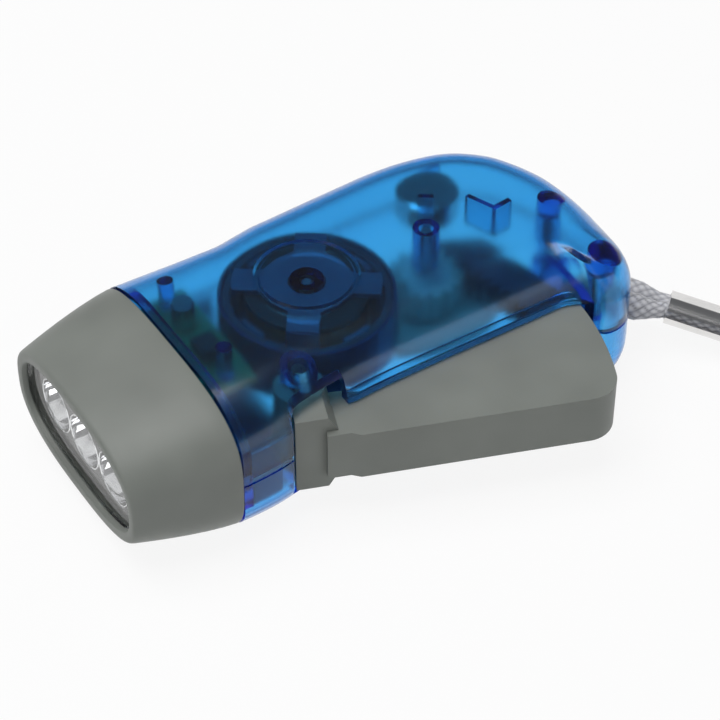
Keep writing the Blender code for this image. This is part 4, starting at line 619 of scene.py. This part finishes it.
def make_cord():
    """A tube of yarn bundles along the route; the mesh holds each point's height."""
    route = cord_route(ROUTE_STEP)
    made = bmesh.new()
    heights = made.verts.layers.float.new("yarn_height")
    rows = []
    length = 0.0
    previous = None
    upright = UP.copy()
    for number, point in enumerate(route):
        here = Vector(point)
        before = Vector(route[max(number - 1, 0)])
        after = Vector(route[min(number + 1, len(route) - 1)])
        along = (after - before).normalized()
        side = along.cross(upright).normalized()
        upright = side.cross(along).normalized()
        if previous is not None:
            length += (here - previous).length
        previous = here
        radius = CORD_RADIUS * crimp_share(point)
        ring = []
        for step in range(CORD_SIDES):
            turn = math.tau * step / CORD_SIDES
            height = braid_height(length, turn)
            reach = radius * (YARN_GROOVE + YARN_SWELL * height)
            vert = made.verts.new(here + (side * math.cos(turn) + upright * math.sin(turn)) * reach)
            vert[heights] = height
            ring.append(vert)
        rows.append(ring)
    for one, two in zip(rows[:-1], rows[1:]):
        for step in range(CORD_SIDES):
            after = (step + 1) % CORD_SIDES
            made.faces.new((one[step], one[after], two[after], two[step]))
    made.faces.new(rows[0])
    made.faces.new(rows[-1])
    thing = finish_piece("braided_wrist_cord", made, CORD, "case")
    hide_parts("wrist_cord")
    path = [tuple(Vector(point) + ORIGIN) for point in cord_route(PATH_STEP)]


make_cord()


# Shells
OUTLINE_MM = [
    (19.3, 23.3), (25.0, 22.9), (32.0, 22.4), (38.0, 22.1), (41.6, 22.0), (43.0, 22.6),
    (44.6, 23.0), (50.5, 23.3), (57.0, 23.7), (64.5, 24.1), (72.0, 24.4), (78.8, 24.0),
    (84.9, 22.7), (88.5, 21.3), (92.0, 19.0), (95.9, 15.0), (98.8, 9.6), (100.5, 4.8),
    (101.3, -0.4), (101.5, -6.0), (101.1, -11.6), (100.5, -16.4), (99.5, -20.6),
    (97.6, -23.6), (94.9, -25.2), (92.4, -25.4), (90.6, -24.4), (89.5, -22.3),
    (88.2, -20.3), (86.0, -19.6), (80.0, -19.5), (73.0, -19.5), (66.0, -19.5),
    (59.0, -19.5), (52.0, -19.6), (46.0, -19.8), (41.5, -20.2), (37.0, -20.8),
    (33.0, -21.6), (29.0, -22.6), (24.5, -23.2), (19.3, -23.4),
]
COARSE_STEP = 4.0 * MM
OUTLINE_STEP = 1.1 * MM
WAY_SCALE = 3.0 * MM             # weighs a turn of the wall against a step along it
EDGE_RINGS = 12
HEAD_EDGE_REACH = 22.0 * MM      # how far the head end's longer rounding goes
TAIL_CORNER = (94.5 * MM, -25.0 * MM)
TAIL_CORNER_REACH = 12.0 * MM
TOP_INSET = 1.2 * MM             # the last ring of the flat top, inside the rounding


def outline_with_leans():
    """The plan outline, with the way and the run of its edge's rounding, finely spaced."""
    coarse = smooth_line(in_metres(OUTLINE_MM), COARSE_STEP)
    soft = smoothed(coarse, 10)
    ways = []
    for k in range(len(soft)):
        before, after = soft[max(k - 1, 0)], soft[min(k + 1, len(soft) - 1)]
        along = Vector((after[0] - before[0], after[1] - before[1])).normalized()
        ways.append((along[1], -along[0]))
    ways[0], ways[-1] = (0.0, -1.0), (0.0, 1.0)
    ways[1], ways[-2] = (0.0, -1.0), (0.0, 1.0)
    ways = smoothed(ways, 6)
    runs = []
    for x, y in coarse:
        near_head = max(0.0, 1.0 - (x - SHELL_START) / HEAD_EDGE_REACH)
        run = EDGE_RADIUS + (HEAD_EDGE_RUN - EDGE_RADIUS) * near_head
        tail = max(0.0, 1.0 - math.dist((x, y), TAIL_CORNER) / TAIL_CORNER_REACH)
        runs.append((run + (TAIL_EDGE_RUN - run) * min(1.0, 1.6 * tail),))
    runs = smoothed(runs, 4)
    joined = [(p[0], p[1], w[0] * WAY_SCALE, w[1] * WAY_SCALE, r[0])
              for p, w, r in zip(coarse, ways, runs)]
    return [(x, y, way_x / WAY_SCALE, way_y / WAY_SCALE, run)
            for x, y, way_x, way_y, run in smooth_line(joined, OUTLINE_STEP)]


OUTLINE = outline_with_leans()
# The lip over the lever: at each height, how far the wall stands out, in millimetres
LIP_STEPS = ((5.2, 0.55), (6.5, 0.55), (6.62, 0.28), (7.8, 0.28), (7.92, 0.0))
LIP_OUT = 0.55 * MM
LIP_SPAN = (41.2 * MM, 88.6 * MM)
LIP_RAMPS = (0.8 * MM, 1.5 * MM)


def lip_swell(x, y):
    """1 along the lever's slot on the near side, where the shell's lip has its steps."""
    if y > 0.0:
        return 0.0
    rise = min(1.0, max(0.0, (x - LIP_SPAN[0]) / LIP_RAMPS[0]))
    fall = min(1.0, max(0.0, (LIP_SPAN[1] - x) / LIP_RAMPS[1]))
    return rise * fall


def shell_rings(inset, start_x, base, lip=False):
    """Rings of the pillow-shaped upper half, moved inward, from the seam to the top."""
    top, drop = HALF_HEIGHT - inset, EDGE_RADIUS - inset
    levels = [(0.0, base, LIP_OUT if lip else 0.0)]
    turns = [math.radians(90.0 * step / EDGE_RINGS) for step in range(EDGE_RINGS + 1)]
    if lip:
        for height, out in LIP_STEPS:
            if height * MM <= top - drop:
                levels.append((0.0, height * MM, out * MM))
            else:
                turn = math.asin((height * MM - (top - drop)) / drop)
                levels.append((turn, None, out * MM))
        turns = [turn for turn in turns if turn > levels[-1][0] + 0.03]
    levels += [(turn, None, 0.0) for turn in turns] + [(math.pi / 2, None, -TOP_INSET)]
    rings = []
    for turn, fixed, out in levels:
        ring = []
        for x, y, way_x, way_y, run in OUTLINE:
            lean = inset + (run - inset) * (1.0 - math.cos(turn))
            lean -= out * (lip_swell(x, y) if out > 0.0 else 1.0)
            height = top - drop * (1.0 - math.sin(turn)) if fixed is None else fixed
            ring.append([x + way_x * lean, y + way_y * lean, height])
        ring[0][0] = start_x
        ring[-1][0] = start_x
        rings.append(ring)
    return rings


def shell_block(inset, start_x, base, lip=False):
    """A closed block bounded by the shell's form."""
    made = bmesh.new()
    rows = [[made.verts.new(point) for point in ring]
            for ring in shell_rings(inset, start_x, base, lip)]
    for one, two in zip(rows[:-1], rows[1:]):
        for k in range(len(one) - 1):
            made.faces.new((one[k], one[k + 1], two[k + 1], two[k]))
    made.faces.new(rows[-1])
    made.faces.new(list(reversed(rows[0])))
    made.faces.new([row[0] for row in reversed(rows)] + [row[-1] for row in rows])
    return made


# Posts: centre, radius and lowest level in millimetres, in each shell
POST_TOP = HALF_HEIGHT - 0.8 * MM          # inside the wall
LOWER_POSTS = ((ROTOR_AXIS, 3.0, 6.4), (FIRST_AXIS, 2.4, 8.6), (PIVOT, 3.1, 9.1),
               (TAIL_POST_B, 2.9, 0.4), (TAIL_POST_C, 2.9, 0.4), (SECOND_AXIS, 2.4, 9.0))
UPPER_POSTS = ((ROTOR_AXIS, 3.0, 9.2), (FIRST_AXIS, 2.4, 4.3), (PIVOT, 3.1, 8.8),
               (TAIL_POST_B, 2.3, 0.4), (TAIL_POST_C, 2.6, 0.4),
               ((26.5 * MM, -5.25 * MM), 1.4, 6.9), ((26.5 * MM, 14.75 * MM), 1.4, 6.9))
V_RIB_MM = [(82.2, 5.6), (83.1, 5.8), (85.1, 0.9), (88.4, 1.25), (88.5, 0.2), (84.6, -0.3)]
V_RIB_LOW = 6.6 * MM                       # clear of the lever's rack when squeezed
CELL_AXIS = (80.2 * MM, 14.7 * MM)
CELL_RIB_RADII = (6.1 * MM, 7.1 * MM)
CELL_RIB_LOW = 5.2 * MM
LEVER_END = LEVER_REACH + 0.5 * MM
SLOT_SIDES = (-36.0 * MM, -16.6 * MM)
SLOT_START = 40.9 * MM
SLOT_TOP = 5.35 * MM
BELOW_SEAM = -1.0 * MM
ARCH_BACK = -13.5 * MM
ARC_STEPS = 24
# Holes: centre, radius and highest level in millimetres, in each shell
UPPER_HOLES = ((ROTOR_AXIS, 1.3, 12.4), (FIRST_AXIS, 1.3, 12.4), (PIVOT, 1.8, 12.4),
               (TAIL_POST_B, 1.35, 9.0), (TAIL_POST_C, 1.35, 9.0))
LOWER_HOLES = ((ROTOR_AXIS, 1.3, 12.4), (FIRST_AXIS, 1.3, 12.4), (PIVOT, 1.8, 12.4),
               (SECOND_AXIS, 1.3, 12.4), (TAIL_POST_B, 1.35, 12.0), (TAIL_POST_C, 1.35, 12.0))
SCREW_WELL_RADIUS = 2.25 * MM
SCREW_WELL_LEVELS = (11.6 * MM, 20.0 * MM)


def shell_posts(lower):
    """Bosses for the axles and screws, the V-shaped rib and the cell's ribs."""
    made = bmesh.new()
    for centre, radius, low in LOWER_POSTS if lower else UPPER_POSTS:
        add_prism(made, circle(radius * MM, 48, centre), low * MM, POST_TOP)
    if not lower:
        add_prism(made, in_metres(V_RIB_MM), V_RIB_LOW, POST_TOP)
        for first, last in ((38.0, 72.0), (222.0, 246.0)):
            band = arc_band(*CELL_RIB_RADII, math.radians(first), math.radians(last), 12,
                            CELL_AXIS)
            add_prism(made, band, CELL_RIB_LOW, POST_TOP)
    return made


def end_wall():
    """The wall behind the lever's arc-shaped end."""
    band = arc_band(LEVER_END, LEVER_END + 1.5 * MM, math.radians(-14.0), math.radians(7.0),
                    ARC_STEPS, PIVOT)
    return prism(band, SEAM_GAP / 2, 6.0 * MM)


def lever_slot():
    """The opening in the near side that the lever's arm swings through."""
    first, last = (math.asin((side - PIVOT[1]) / LEVER_END) for side in SLOT_SIDES)
    points = [(SLOT_START, SLOT_SIDES[1]), (SLOT_START, SLOT_SIDES[0])]
    points += arc(LEVER_END, first, last, ARC_STEPS, PIVOT)
    return prism(points, BELOW_SEAM, SLOT_TOP)


def hub_arch():
    """The round-cornered opening in the near side for the lever's hub."""
    left, right, top, low, corner = 29.5, 41.3, 10.2, -1.0, 2.2
    points = [(left, low), (right, low), (right, top)]
    points += arc(corner, math.pi / 2, math.pi, 10, (left + corner, top - corner))
    made = standing_along_y(prism(in_metres(points), 0.0, 24.0 * MM))
    bmesh.ops.translate(made, vec=(0.0, ARCH_BACK, 0.0), verts=made.verts)
    return made


def shell_holes(lower):
    """Blind bores for the axles and the pin, and the screws' holes."""
    made = bmesh.new()
    for centre, radius, high in LOWER_HOLES if lower else UPPER_HOLES:
        add_prism(made, circle(radius * MM, 32, centre), BELOW_SEAM, high * MM)
    return made


def screw_wells():
    """The sunk seats of the two screws' heads."""
    made = bmesh.new()
    for centre in (TAIL_POST_B, TAIL_POST_C):
        add_prism(made, circle(SCREW_WELL_RADIUS, 40, centre), *SCREW_WELL_LEVELS)
    return made


def cord_hole():
    """The long round-ended hole in the tail wall that both strands go through."""
    half_pitch, radius, points = 2.9, 3.0, []
    for step in range(40):
        angle = math.tau * step / 40
        shift = half_pitch if math.cos(angle) > 0 else -half_pitch
        points.append(((shift + radius * math.cos(angle)) * MM, radius * math.sin(angle) * MM))
    made = lying_along_x(prism(points, 97.4 * MM, 106.0 * MM))
    bmesh.ops.translate(made, vec=(0.0, -12.6 * MM, 4.5 * MM), verts=made.verts)
    return made


COLLAR_HALF_WIDTH = 23.35 * MM
COLLAR_POWER = 3.0
# The spigot's neck and its flange: start, end, outer inset and inner inset
COLLARS_MM = ((14.6, 20.2, 2.5, 3.9), (19.6, 21.4, 1.0, 3.6))
GROOVE_MM = [(8.05, 1.0), (8.05, 0.02), (8.45, -0.4), (8.9, -0.4), (9.3, 0.02), (9.3, 1.0)]


def half_collar(low, high, outer_inset, inner_inset):
    """Half of the spigot that locates the shells in the head."""
    def half_ring(inset):
        half_width, half_height = COLLAR_HALF_WIDTH - inset, HALF_HEIGHT - inset
        power = 2.0 / COLLAR_POWER
        return [(half_width * math.copysign(abs(across) ** power, across),
                 SEAM_GAP / 2 + (half_height - SEAM_GAP / 2) * abs(up) ** power)
                for across, up in arc(1.0, 0.0, math.pi, 48)]
    outline = half_ring(outer_inset) + list(reversed(half_ring(inner_inset)))
    return lying_along_x(prism(outline, low, high))


def make_shell(name, node, lower):
    """A shell half: the form, its cavity, posts and collar, and then its openings."""
    cavity = shell_block(SHELL_WALL, SHELL_START - 4.0 * MM, -2.0 * MM)
    ribs = worked_mesh(shell_posts(lower), [
        (end_wall(), "UNION"),
        (shell_block(SHELL_WALL * 0.5, SHELL_START + MM, 0.0), "INTERSECT"),
    ])
    steps = [
        (cavity, "DIFFERENCE"),
        (ribs, "UNION"),
        *((half_collar(*sizes), "UNION") for sizes in in_metres(COLLARS_MM)),
        (lever_slot(), "DIFFERENCE"),
        (hub_arch(), "DIFFERENCE"),
        (shell_holes(lower), "DIFFERENCE"),
    ]
    if lower:
        steps.append((cord_hole(), "DIFFERENCE"))
        steps.append((screw_wells(), "DIFFERENCE"))
    else:
        groove = [(radius * MM, HALF_HEIGHT + high * MM) for radius, high in GROOVE_MM]
        steps.append((lathe(groove, 120, ROTOR_AXIS), "DIFFERENCE"))
    made = worked_mesh(shell_block(0.0, SHELL_START, SEAM_GAP / 2, lip=True), steps)
    if lower:
        mirrored(made)
    thing = finish_piece(name, made, BLUE, "case", weighted=True)
    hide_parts(node)


make_shell("blue_upper_shell", "upper_shell", False)
make_shell("blue_lower_shell", "lower_shell", True)


SHADE_SHEET_INSETS = (SHELL_WALL + 0.35 * MM, SHELL_WALL + 1.1 * MM)
ALL_LEVELS = (-2.0 * MM, 20.0 * MM)


def make_shade_sheet():
    """A dark blue sheet inside the lower shell behind the head, clear of the lever: painted shade,
    standing where the head and the reflector block the light from below.

    Both blocks start well before the shell's outline, which a later start would fold.
    """
    outer, inner = SHADE_SHEET_INSETS
    made = worked_mesh(shell_block(outer, 16.0 * MM, 0.6 * MM), [
        (shell_block(inner, 14.0 * MM, -1.0 * MM), "DIFFERENCE"),
        (block((0.0, 21.9), (-60.0, 60.0), *ALL_LEVELS), "DIFFERENCE"),
        (block((38.0, 120.0), (-60.0, 60.0), *ALL_LEVELS), "DIFFERENCE"),
        (block((27.5, 60.0), (-60.0, -9.0), -2.0 * MM, 11.3 * MM), "DIFFERENCE"),
        (prism(circle(3.6 * MM, 48, PIVOT), *ALL_LEVELS), "DIFFERENCE"),
    ])
    finish_piece("lamp_end_shade_sheet", mirrored(made), SHADE_SHEET, "case")


make_shade_sheet()


# Head
HEAD_POWER = 2.7                 # of the head's and the reflector's rounded sections
HEAD_SIDES = 128
# Along the outer face: the share of the length, and how far the edges are eased, in millimetres
OUTER_FACE = ((0.0, 0.45), (0.006, 0.2), (0.018, 0.06), (0.04, 0.0), (0.1, 0.0), (0.2, 0.0),
              (0.3, 0.0), (0.42, 0.0), (0.55, 0.0), (0.7, 0.0), (0.85, 0.0), (0.975, 0.0),
              (0.992, 0.08), (1.0, 0.28))
HEAD_WALL = 1.7 * MM
# The lens's pocket and the rim: X, half width and half height, in millimetres
POCKET_MM = ((6.0, 19.4, 9.5), (0.95, 19.4, 9.5), (0.95, 18.8, 8.9), (0.3, 18.95, 9.05),
             (0.08, 19.1, 9.2), (0.0, 19.35, 9.45))


def section(half_width, half_height, power, count):
    """A rounded rectangle's outline, as a superellipse."""
    points = []
    for step in range(count):
        angle = math.tau * step / count
        across, up = math.cos(angle), math.sin(angle)
        points.append((half_width * math.copysign(abs(across) ** (2.0 / power), across),
                       half_height * math.copysign(abs(up) ** (2.0 / power), up)))
    return points


def make_bezel():
    """The tapered grey head, with its thin rim and the pocket that seats the lens."""
    def ring(x, half_width, half_height, power=HEAD_POWER):
        return [(x, y, z) for y, z in section(half_width, half_height, power, HEAD_SIDES)]

    def outer(share, shrink):
        swell = 1.0 - (1.0 - share) ** 1.45
        return ring(share * HEAD_LENGTH, (20.9 + 3.2 * swell) * MM - shrink,
                    (11.1 + 3.5 * swell) * MM - shrink, HEAD_POWER + 0.45 * share)

    rings = [outer(share, shrink * MM) for share, shrink in OUTER_FACE]
    rings += [outer(share, HEAD_WALL) for share in (1.0, 0.8, 0.6)]
    rings += [ring(x * MM, width * MM, height * MM) for x, width, height in POCKET_MM]
    made = bmesh.new()
    loft(made, rings, wrap=True)
    thing = finish_piece("moulded_head", made, GREY, "case")
    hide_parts("head_bezel")


make_bezel()


# Reflector
LAMP_PLACES = (-10.2 * MM, 0.0, 10.2 * MM)
# The plate's sections: X, half width and half height. The cups' sections: radius and X.
PLATE_MM = ((2.75, 17.2, 7.3), (2.95, 17.5, 7.6), (6.2, 17.5, 7.6), (6.2, 19.1, 9.2),
            (7.4, 19.1, 9.2), (7.4, 16.5, 6.6), (3.75, 16.5, 6.6))
CUP_CURVE_MM = [(4.75 - 1.95 * (step / 12) ** 1.7, 2.75 + 6.0 * step / 12) for step in range(13)]
CUP_OUTSIDE_MM = [(0.0, 8.75), (0.0, 3.15), (5.08, 3.15)] + [
    (min(radius + 0.75, 5.08), x) for radius, x in CUP_CURVE_MM if x > 3.2]
CUP_HOLLOW_MM = [(0.0, 9.75), (0.0, 1.75), (4.95, 1.75), *CUP_CURVE_MM, (2.8, 9.75)]
CUP_RIM_MM = [(4.74, 3.0), (4.74, 2.68), (4.82, 2.58), (4.98, 2.58), (5.07, 2.68), (5.07, 3.0)]
POST_PLACES = (-15.4 * MM, 15.4 * MM)


def one_for_each_lamp(profile):
    """The same turned solid, lying along X at each of the three lamps."""
    whole = bmesh.new()
    for place in LAMP_PLACES:
        piece = lying_along_x(lathe(in_metres(profile), 72))
        bmesh.ops.translate(piece, vec=(0.0, place, 0.0), verts=piece.verts)
        mesh = bpy.data.meshes.new("piece")
        piece.to_mesh(mesh)
        piece.free()
        whole.from_mesh(mesh)
        bpy.data.meshes.remove(mesh)
    return whole


def make_reflector():
    """The dark plate behind the lens, with three chromed cups and their raised rims."""
    plate = bmesh.new()
    loft(plate, [[(x * MM, y, z) for y, z in section(width * MM, height * MM, HEAD_POWER, 96)]
                 for x, width, height in PLATE_MM])
    posts = bmesh.new()
    for place in POST_PLACES:
        add_prism(posts, circle(1.2 * MM, 32, (place, 0.0)), 3.25 * MM, 14.1 * MM)
    made = worked_mesh(plate, [
        (one_for_each_lamp(CUP_OUTSIDE_MM), "UNION", 1),
        (lying_along_x(posts), "UNION"),
        (one_for_each_lamp(CUP_HOLLOW_MM), "DIFFERENCE", 1),
        (one_for_each_lamp(CUP_RIM_MM), "UNION", 1),
    ])
    thing = finish_piece("lamp_reflector", made, DARK_PLATE, "case", second=CHROME)
    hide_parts("reflector")


make_reflector()


# Lever, in its own frame: the hub at the centre and the closed arm along X
ARM_FACE = -10.5 * MM
HUB_FACE = -9.7 * MM
ARM_CORNER = 5.5 * MM
ARM_END_ANGLE = math.radians(17.0)
ARM_INNER_MM = [(21.0, 2.6), (16.0, 0.9), (11.0, 0.2), (4.0, 0.6)]
ARM_LEVELS = (-5.0 * MM, 5.0 * MM)
ARM_WALL = 1.8 * MM
HOLLOW_INNER_MM = [(53.0, 24.0), (24.0, 24.0), (13.0, 10.0), (10.0, -2.0)]
HOLLOW_LEVELS = (-3.2 * MM, 3.2 * MM)
WEB_MM = [(46.5, 2.5), (53.1, 2.5), (51.6, 14.8), (45.0, 12.4)]
WEB_LEVELS = (-4.0 * MM, 4.0 * MM)
SHOULDERS_MM = [(-2.2, -8.0), (3.4, -8.0), (5.2, -4.9), (5.2, 4.9), (3.4, 8.0), (-2.2, 8.0)]
HUB_RADIUS = 4.4 * MM
HUB_LEVELS = (-7.98 * MM, 7.98 * MM)
PIN_HOLE_RADIUS = 1.8 * MM
SPRING_SEAT_RADIUS = 3.3 * MM
SOFT_EDGE = 0.4 * MM
RACK_LEVELS = (-2.5 * MM, 2.7 * MM)
RACK_MODULE = 0.8 * MM
RACK_TEETH = 115
RACK_BACKLASH = 0.16 * MM
PRESSURE_ANGLE = math.radians(20.0)
FIRST_TOOTH = math.radians(24.9) + OPEN_ANGLE
RACK_SPAN = (math.radians(6.0), math.radians(47.6))
RACK_SLIMS_FROM = math.radians(40.5)
RACK_SLIM_RADIUS = 48.7 * MM
TEETH_STOP = math.radians(20.0)


def lip_edge(along):
    """The inner edge that meets the shell's lip when the lever is open."""
    return (along, 0.5 * MM + (along - 11.0 * MM) * math.tan(OPEN_ANGLE))


def arm_outline(margin):
    """The arm's plan: outer face and arc-shaped end."""
    reach = LEVER_REACH - margin
    face = ARM_FACE + margin
    points = [(3.0 * MM, HUB_FACE + margin), (7.0 * MM, HUB_FACE + margin), (8.6 * MM, face)]
    corner = ARM_CORNER - margin
    turn = Vector((math.sqrt((reach - corner) ** 2 - (face + corner) ** 2), face + corner))
    end_angle = math.atan2(turn.y, turn.x)
    points += arc(corner, -math.pi / 2, end_angle, 20, turn)
    return points + arc(reach, end_angle, ARM_END_ANGLE, ARC_STEPS)[1:]


def rack_outline():
    """The toothed arc that drives the first gear, as the source has it."""
    pitch = RACK_MODULE * RACK_TEETH / 2
    slope = math.tan(PRESSURE_ANGLE)
    first, last = RACK_SPAN
    points = []
    for step in range(49):
        angle = first + (last - first) * step / 48
        slimmed = max(0.0, angle - RACK_SLIMS_FROM) / (last - RACK_SLIMS_FROM)
        outer = (LEVER_REACH - 0.5 * MM) * (1.0 - slimmed) + RACK_SLIM_RADIUS * slimmed
        points.append((outer * math.cos(angle), outer * math.sin(angle)))
    root, tip = pitch + 1.15 * RACK_MODULE, pitch - 0.85 * RACK_MODULE
    points.append((root * math.cos(last), root * math.sin(last)))
    pitch_angle = math.tau / RACK_TEETH
    lead = pitch_angle / 4 - RACK_BACKLASH / (4 * pitch)
    number = math.floor((last - FIRST_TOOTH) / pitch_angle - 0.5)
    while FIRST_TOOTH + (number + 0.5) * pitch_angle > TEETH_STOP:
        middle = FIRST_TOOTH + (number + 0.5) * pitch_angle
        wide_root = lead + slope * (root - pitch) / pitch
        slim_tip = lead - slope * (pitch - tip) / pitch
        for radius, turn in ((root, wide_root), (tip, slim_tip), (tip, -slim_tip),
                             (root, -wide_root)):
            points.append((radius * math.cos(middle + turn), radius * math.sin(middle + turn)))
        number -= 1
    for angle in (18.5, 6.0):
        turn = math.radians(angle)
        points.append((tip * math.cos(turn), tip * math.sin(turn)))
    return points


def make_lever():
    """The hollow arm with its rack, web, shouldered hub, pin hole and spring seat."""
    inner = [lip_edge(44.0 * MM), lip_edge(30.0 * MM)] + in_metres(ARM_INNER_MM)
    hollow = arm_outline(ARM_WALL)[2:] + in_metres(HOLLOW_INNER_MM)
    shoulders = prism(in_metres(SHOULDERS_MM), -2.0 * MM, 8.5 * MM)
    made = worked_mesh(prism(arm_outline(0.0) + inner, *ARM_LEVELS), [
        (prism(hollow, *HOLLOW_LEVELS), "DIFFERENCE"),
        (prism(rack_outline(), *RACK_LEVELS), "UNION", 1),
        (prism(in_metres(WEB_MM), *WEB_LEVELS), "UNION"),
        (standing_along_y(shoulders), "UNION"),
        (prism(circle(HUB_RADIUS, 64), *HUB_LEVELS), "UNION"),
        (prism(circle(PIN_HOLE_RADIUS, 40), -12.0 * MM, 12.0 * MM), "DIFFERENCE"),
        (prism(circle(SPRING_SEAT_RADIUS, 48), -12.0 * MM, -3.0 * MM), "DIFFERENCE"),
    ])
    turn = Matrix.Rotation(-OPEN_ANGLE, 4, "Z")
    bmesh.ops.transform(made, matrix=turn, verts=made.verts)
    bmesh.ops.translate(made, vec=(PIVOT[0], PIVOT[1], 0.0), verts=made.verts)
    bmesh.ops.remove_doubles(made, verts=made.verts, dist=0.002 * MM)
    thing = finish_piece("squeeze_lever", made, GREY, "lever", second=RACK)
    soften = thing.modifiers.new("soft_edges", "BEVEL")
    soften.width = SOFT_EDGE
    soften.segments = 3
    soften.limit_method = "ANGLE"
    soften.angle_limit = math.radians(40.0)
    soften.harden_normals = True
    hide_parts("lever")


make_lever()

# Finishes of the CAD nodes that stay
dress(CLEAR, "front_lens")
dress(EPOXY, "near_lamp", "middle_lamp", "far_lamp")
dress(BOARD, "lamp_board", "rectifier_board")
dress(STEEL, "lever_pin", "lever_spring", "first_gear_axle", "second_gear_axle", "rotor_axle",
      "tail_screw", "corner_screw")
dress(PLATE, "upper_pole_plate", "lower_pole_plate")
dress(NYLON, "first_gear", "second_gear", "rotor_pinion")
dress(BLUED_STEEL, "flywheel_cup")
dress(MAGNET, "ring_magnet")
dress(BLACK, "coil_bobbin", "rectifier_bridge")
dress(COPPER, "stator_coil")
dress(CELL, "storage_cell", "smoothing_capacitor")
dress(FERRULE_CHROME, "cord_ferrule")
dress(CORD, "cord_knot")


# Floor, light and background
def make_floor():
    """A pale floor that keeps the torch's shadow; the camera and clear rays see it near white."""
    made = bmesh.new()
    bmesh.ops.create_grid(made, x_segments=1, y_segments=1, size=6.0)
    mesh = bpy.data.meshes.new("floor")
    made.to_mesh(mesh)
    made.free()
    floor = bpy.data.objects.new("floor", mesh)
    SCENE.collection.objects.link(floor)
    look = Finish("pale_floor")
    look.set(Base_Color=(0.86, 0.86, 0.86, 1.0), Roughness=0.8)
    light = look.node("ShaderNodeLightPath")
    seen = look.node("ShaderNodeMath", operation="MULTIPLY")
    look.join(light.outputs["Is Camera Ray"], seen.inputs[0])
    seen.inputs[1].default_value = 0.9
    share = seen
    for ray in ("Is Transmission Ray", "Is Glossy Ray"):
        larger = look.node("ShaderNodeMath", operation="MAXIMUM")
        look.join(share.outputs["Value"], larger.inputs[0])
        look.join(light.outputs[ray], larger.inputs[1])
        share = larger
    white = look.node("ShaderNodeEmission")
    white.inputs["Color"].default_value = (1.0, 1.0, 1.0, 1.0)
    white.inputs["Strength"].default_value = 1.0
    mix = look.node("ShaderNodeMixShader")
    look.join(share.outputs["Value"], mix.inputs["Fac"])
    look.join(look.shader.outputs["BSDF"], mix.inputs[1])
    look.join(white.outputs["Emission"], mix.inputs[2])
    look.join(mix.outputs["Shader"], look.output.inputs["Surface"])
    mesh.materials.append(look.material)


def make_world():
    """Faint cool light from all round, and white behind the floor for the camera."""
    world = bpy.data.worlds.new("studio")
    SCENE.world = world
    world.use_nodes = True
    tree = world.node_tree
    background = tree.nodes["Background"]
    background.inputs["Color"].default_value = (0.92, 0.95, 1.0, 1.0)
    background.inputs["Strength"].default_value = 0.16
    seen = tree.nodes.new("ShaderNodeBackground")
    seen.inputs["Color"].default_value = (1.0, 1.0, 1.0, 1.0)
    light = tree.nodes.new("ShaderNodeLightPath")
    mix = tree.nodes.new("ShaderNodeMixShader")
    tree.links.new(light.outputs["Is Camera Ray"], mix.inputs["Fac"])
    tree.links.new(background.outputs["Background"], mix.inputs[1])
    tree.links.new(seen.outputs["Background"], mix.inputs[2])
    tree.links.new(mix.outputs["Shader"], tree.nodes["World Output"].inputs["Surface"])


def soft_light(name, place, aim, size, power):
    """A rectangular light: its place and aim, its two sides and its power in watts."""
    data = bpy.data.lights.new(name, "AREA")
    data.shape = "RECTANGLE"
    data.size, data.size_y = size
    data.energy = power
    lamp = bpy.data.objects.new(name, data)
    lamp.location = place
    lamp.rotation_euler = (Vector(aim) - Vector(place)).to_track_quat("-Z", "Y").to_euler()
    SCENE.collection.objects.link(lamp)


make_floor()
make_world()
soft_light("top_box", (-0.18, 0.10, 0.87), (0.0, 0.0, 0.0), (0.7, 0.7), 7.0)
soft_light("lamp_end_box", (-0.8, -0.10, 0.50), (0.0, 0.0, 0.01), (0.5, 0.5), 0.25)
soft_light("lever_side_card", (0.32, -0.85, 0.17), (0.0, 0.0, 0.01), (0.7, 0.3), 0.85)

SCENE.view_settings.view_transform = "Standard"
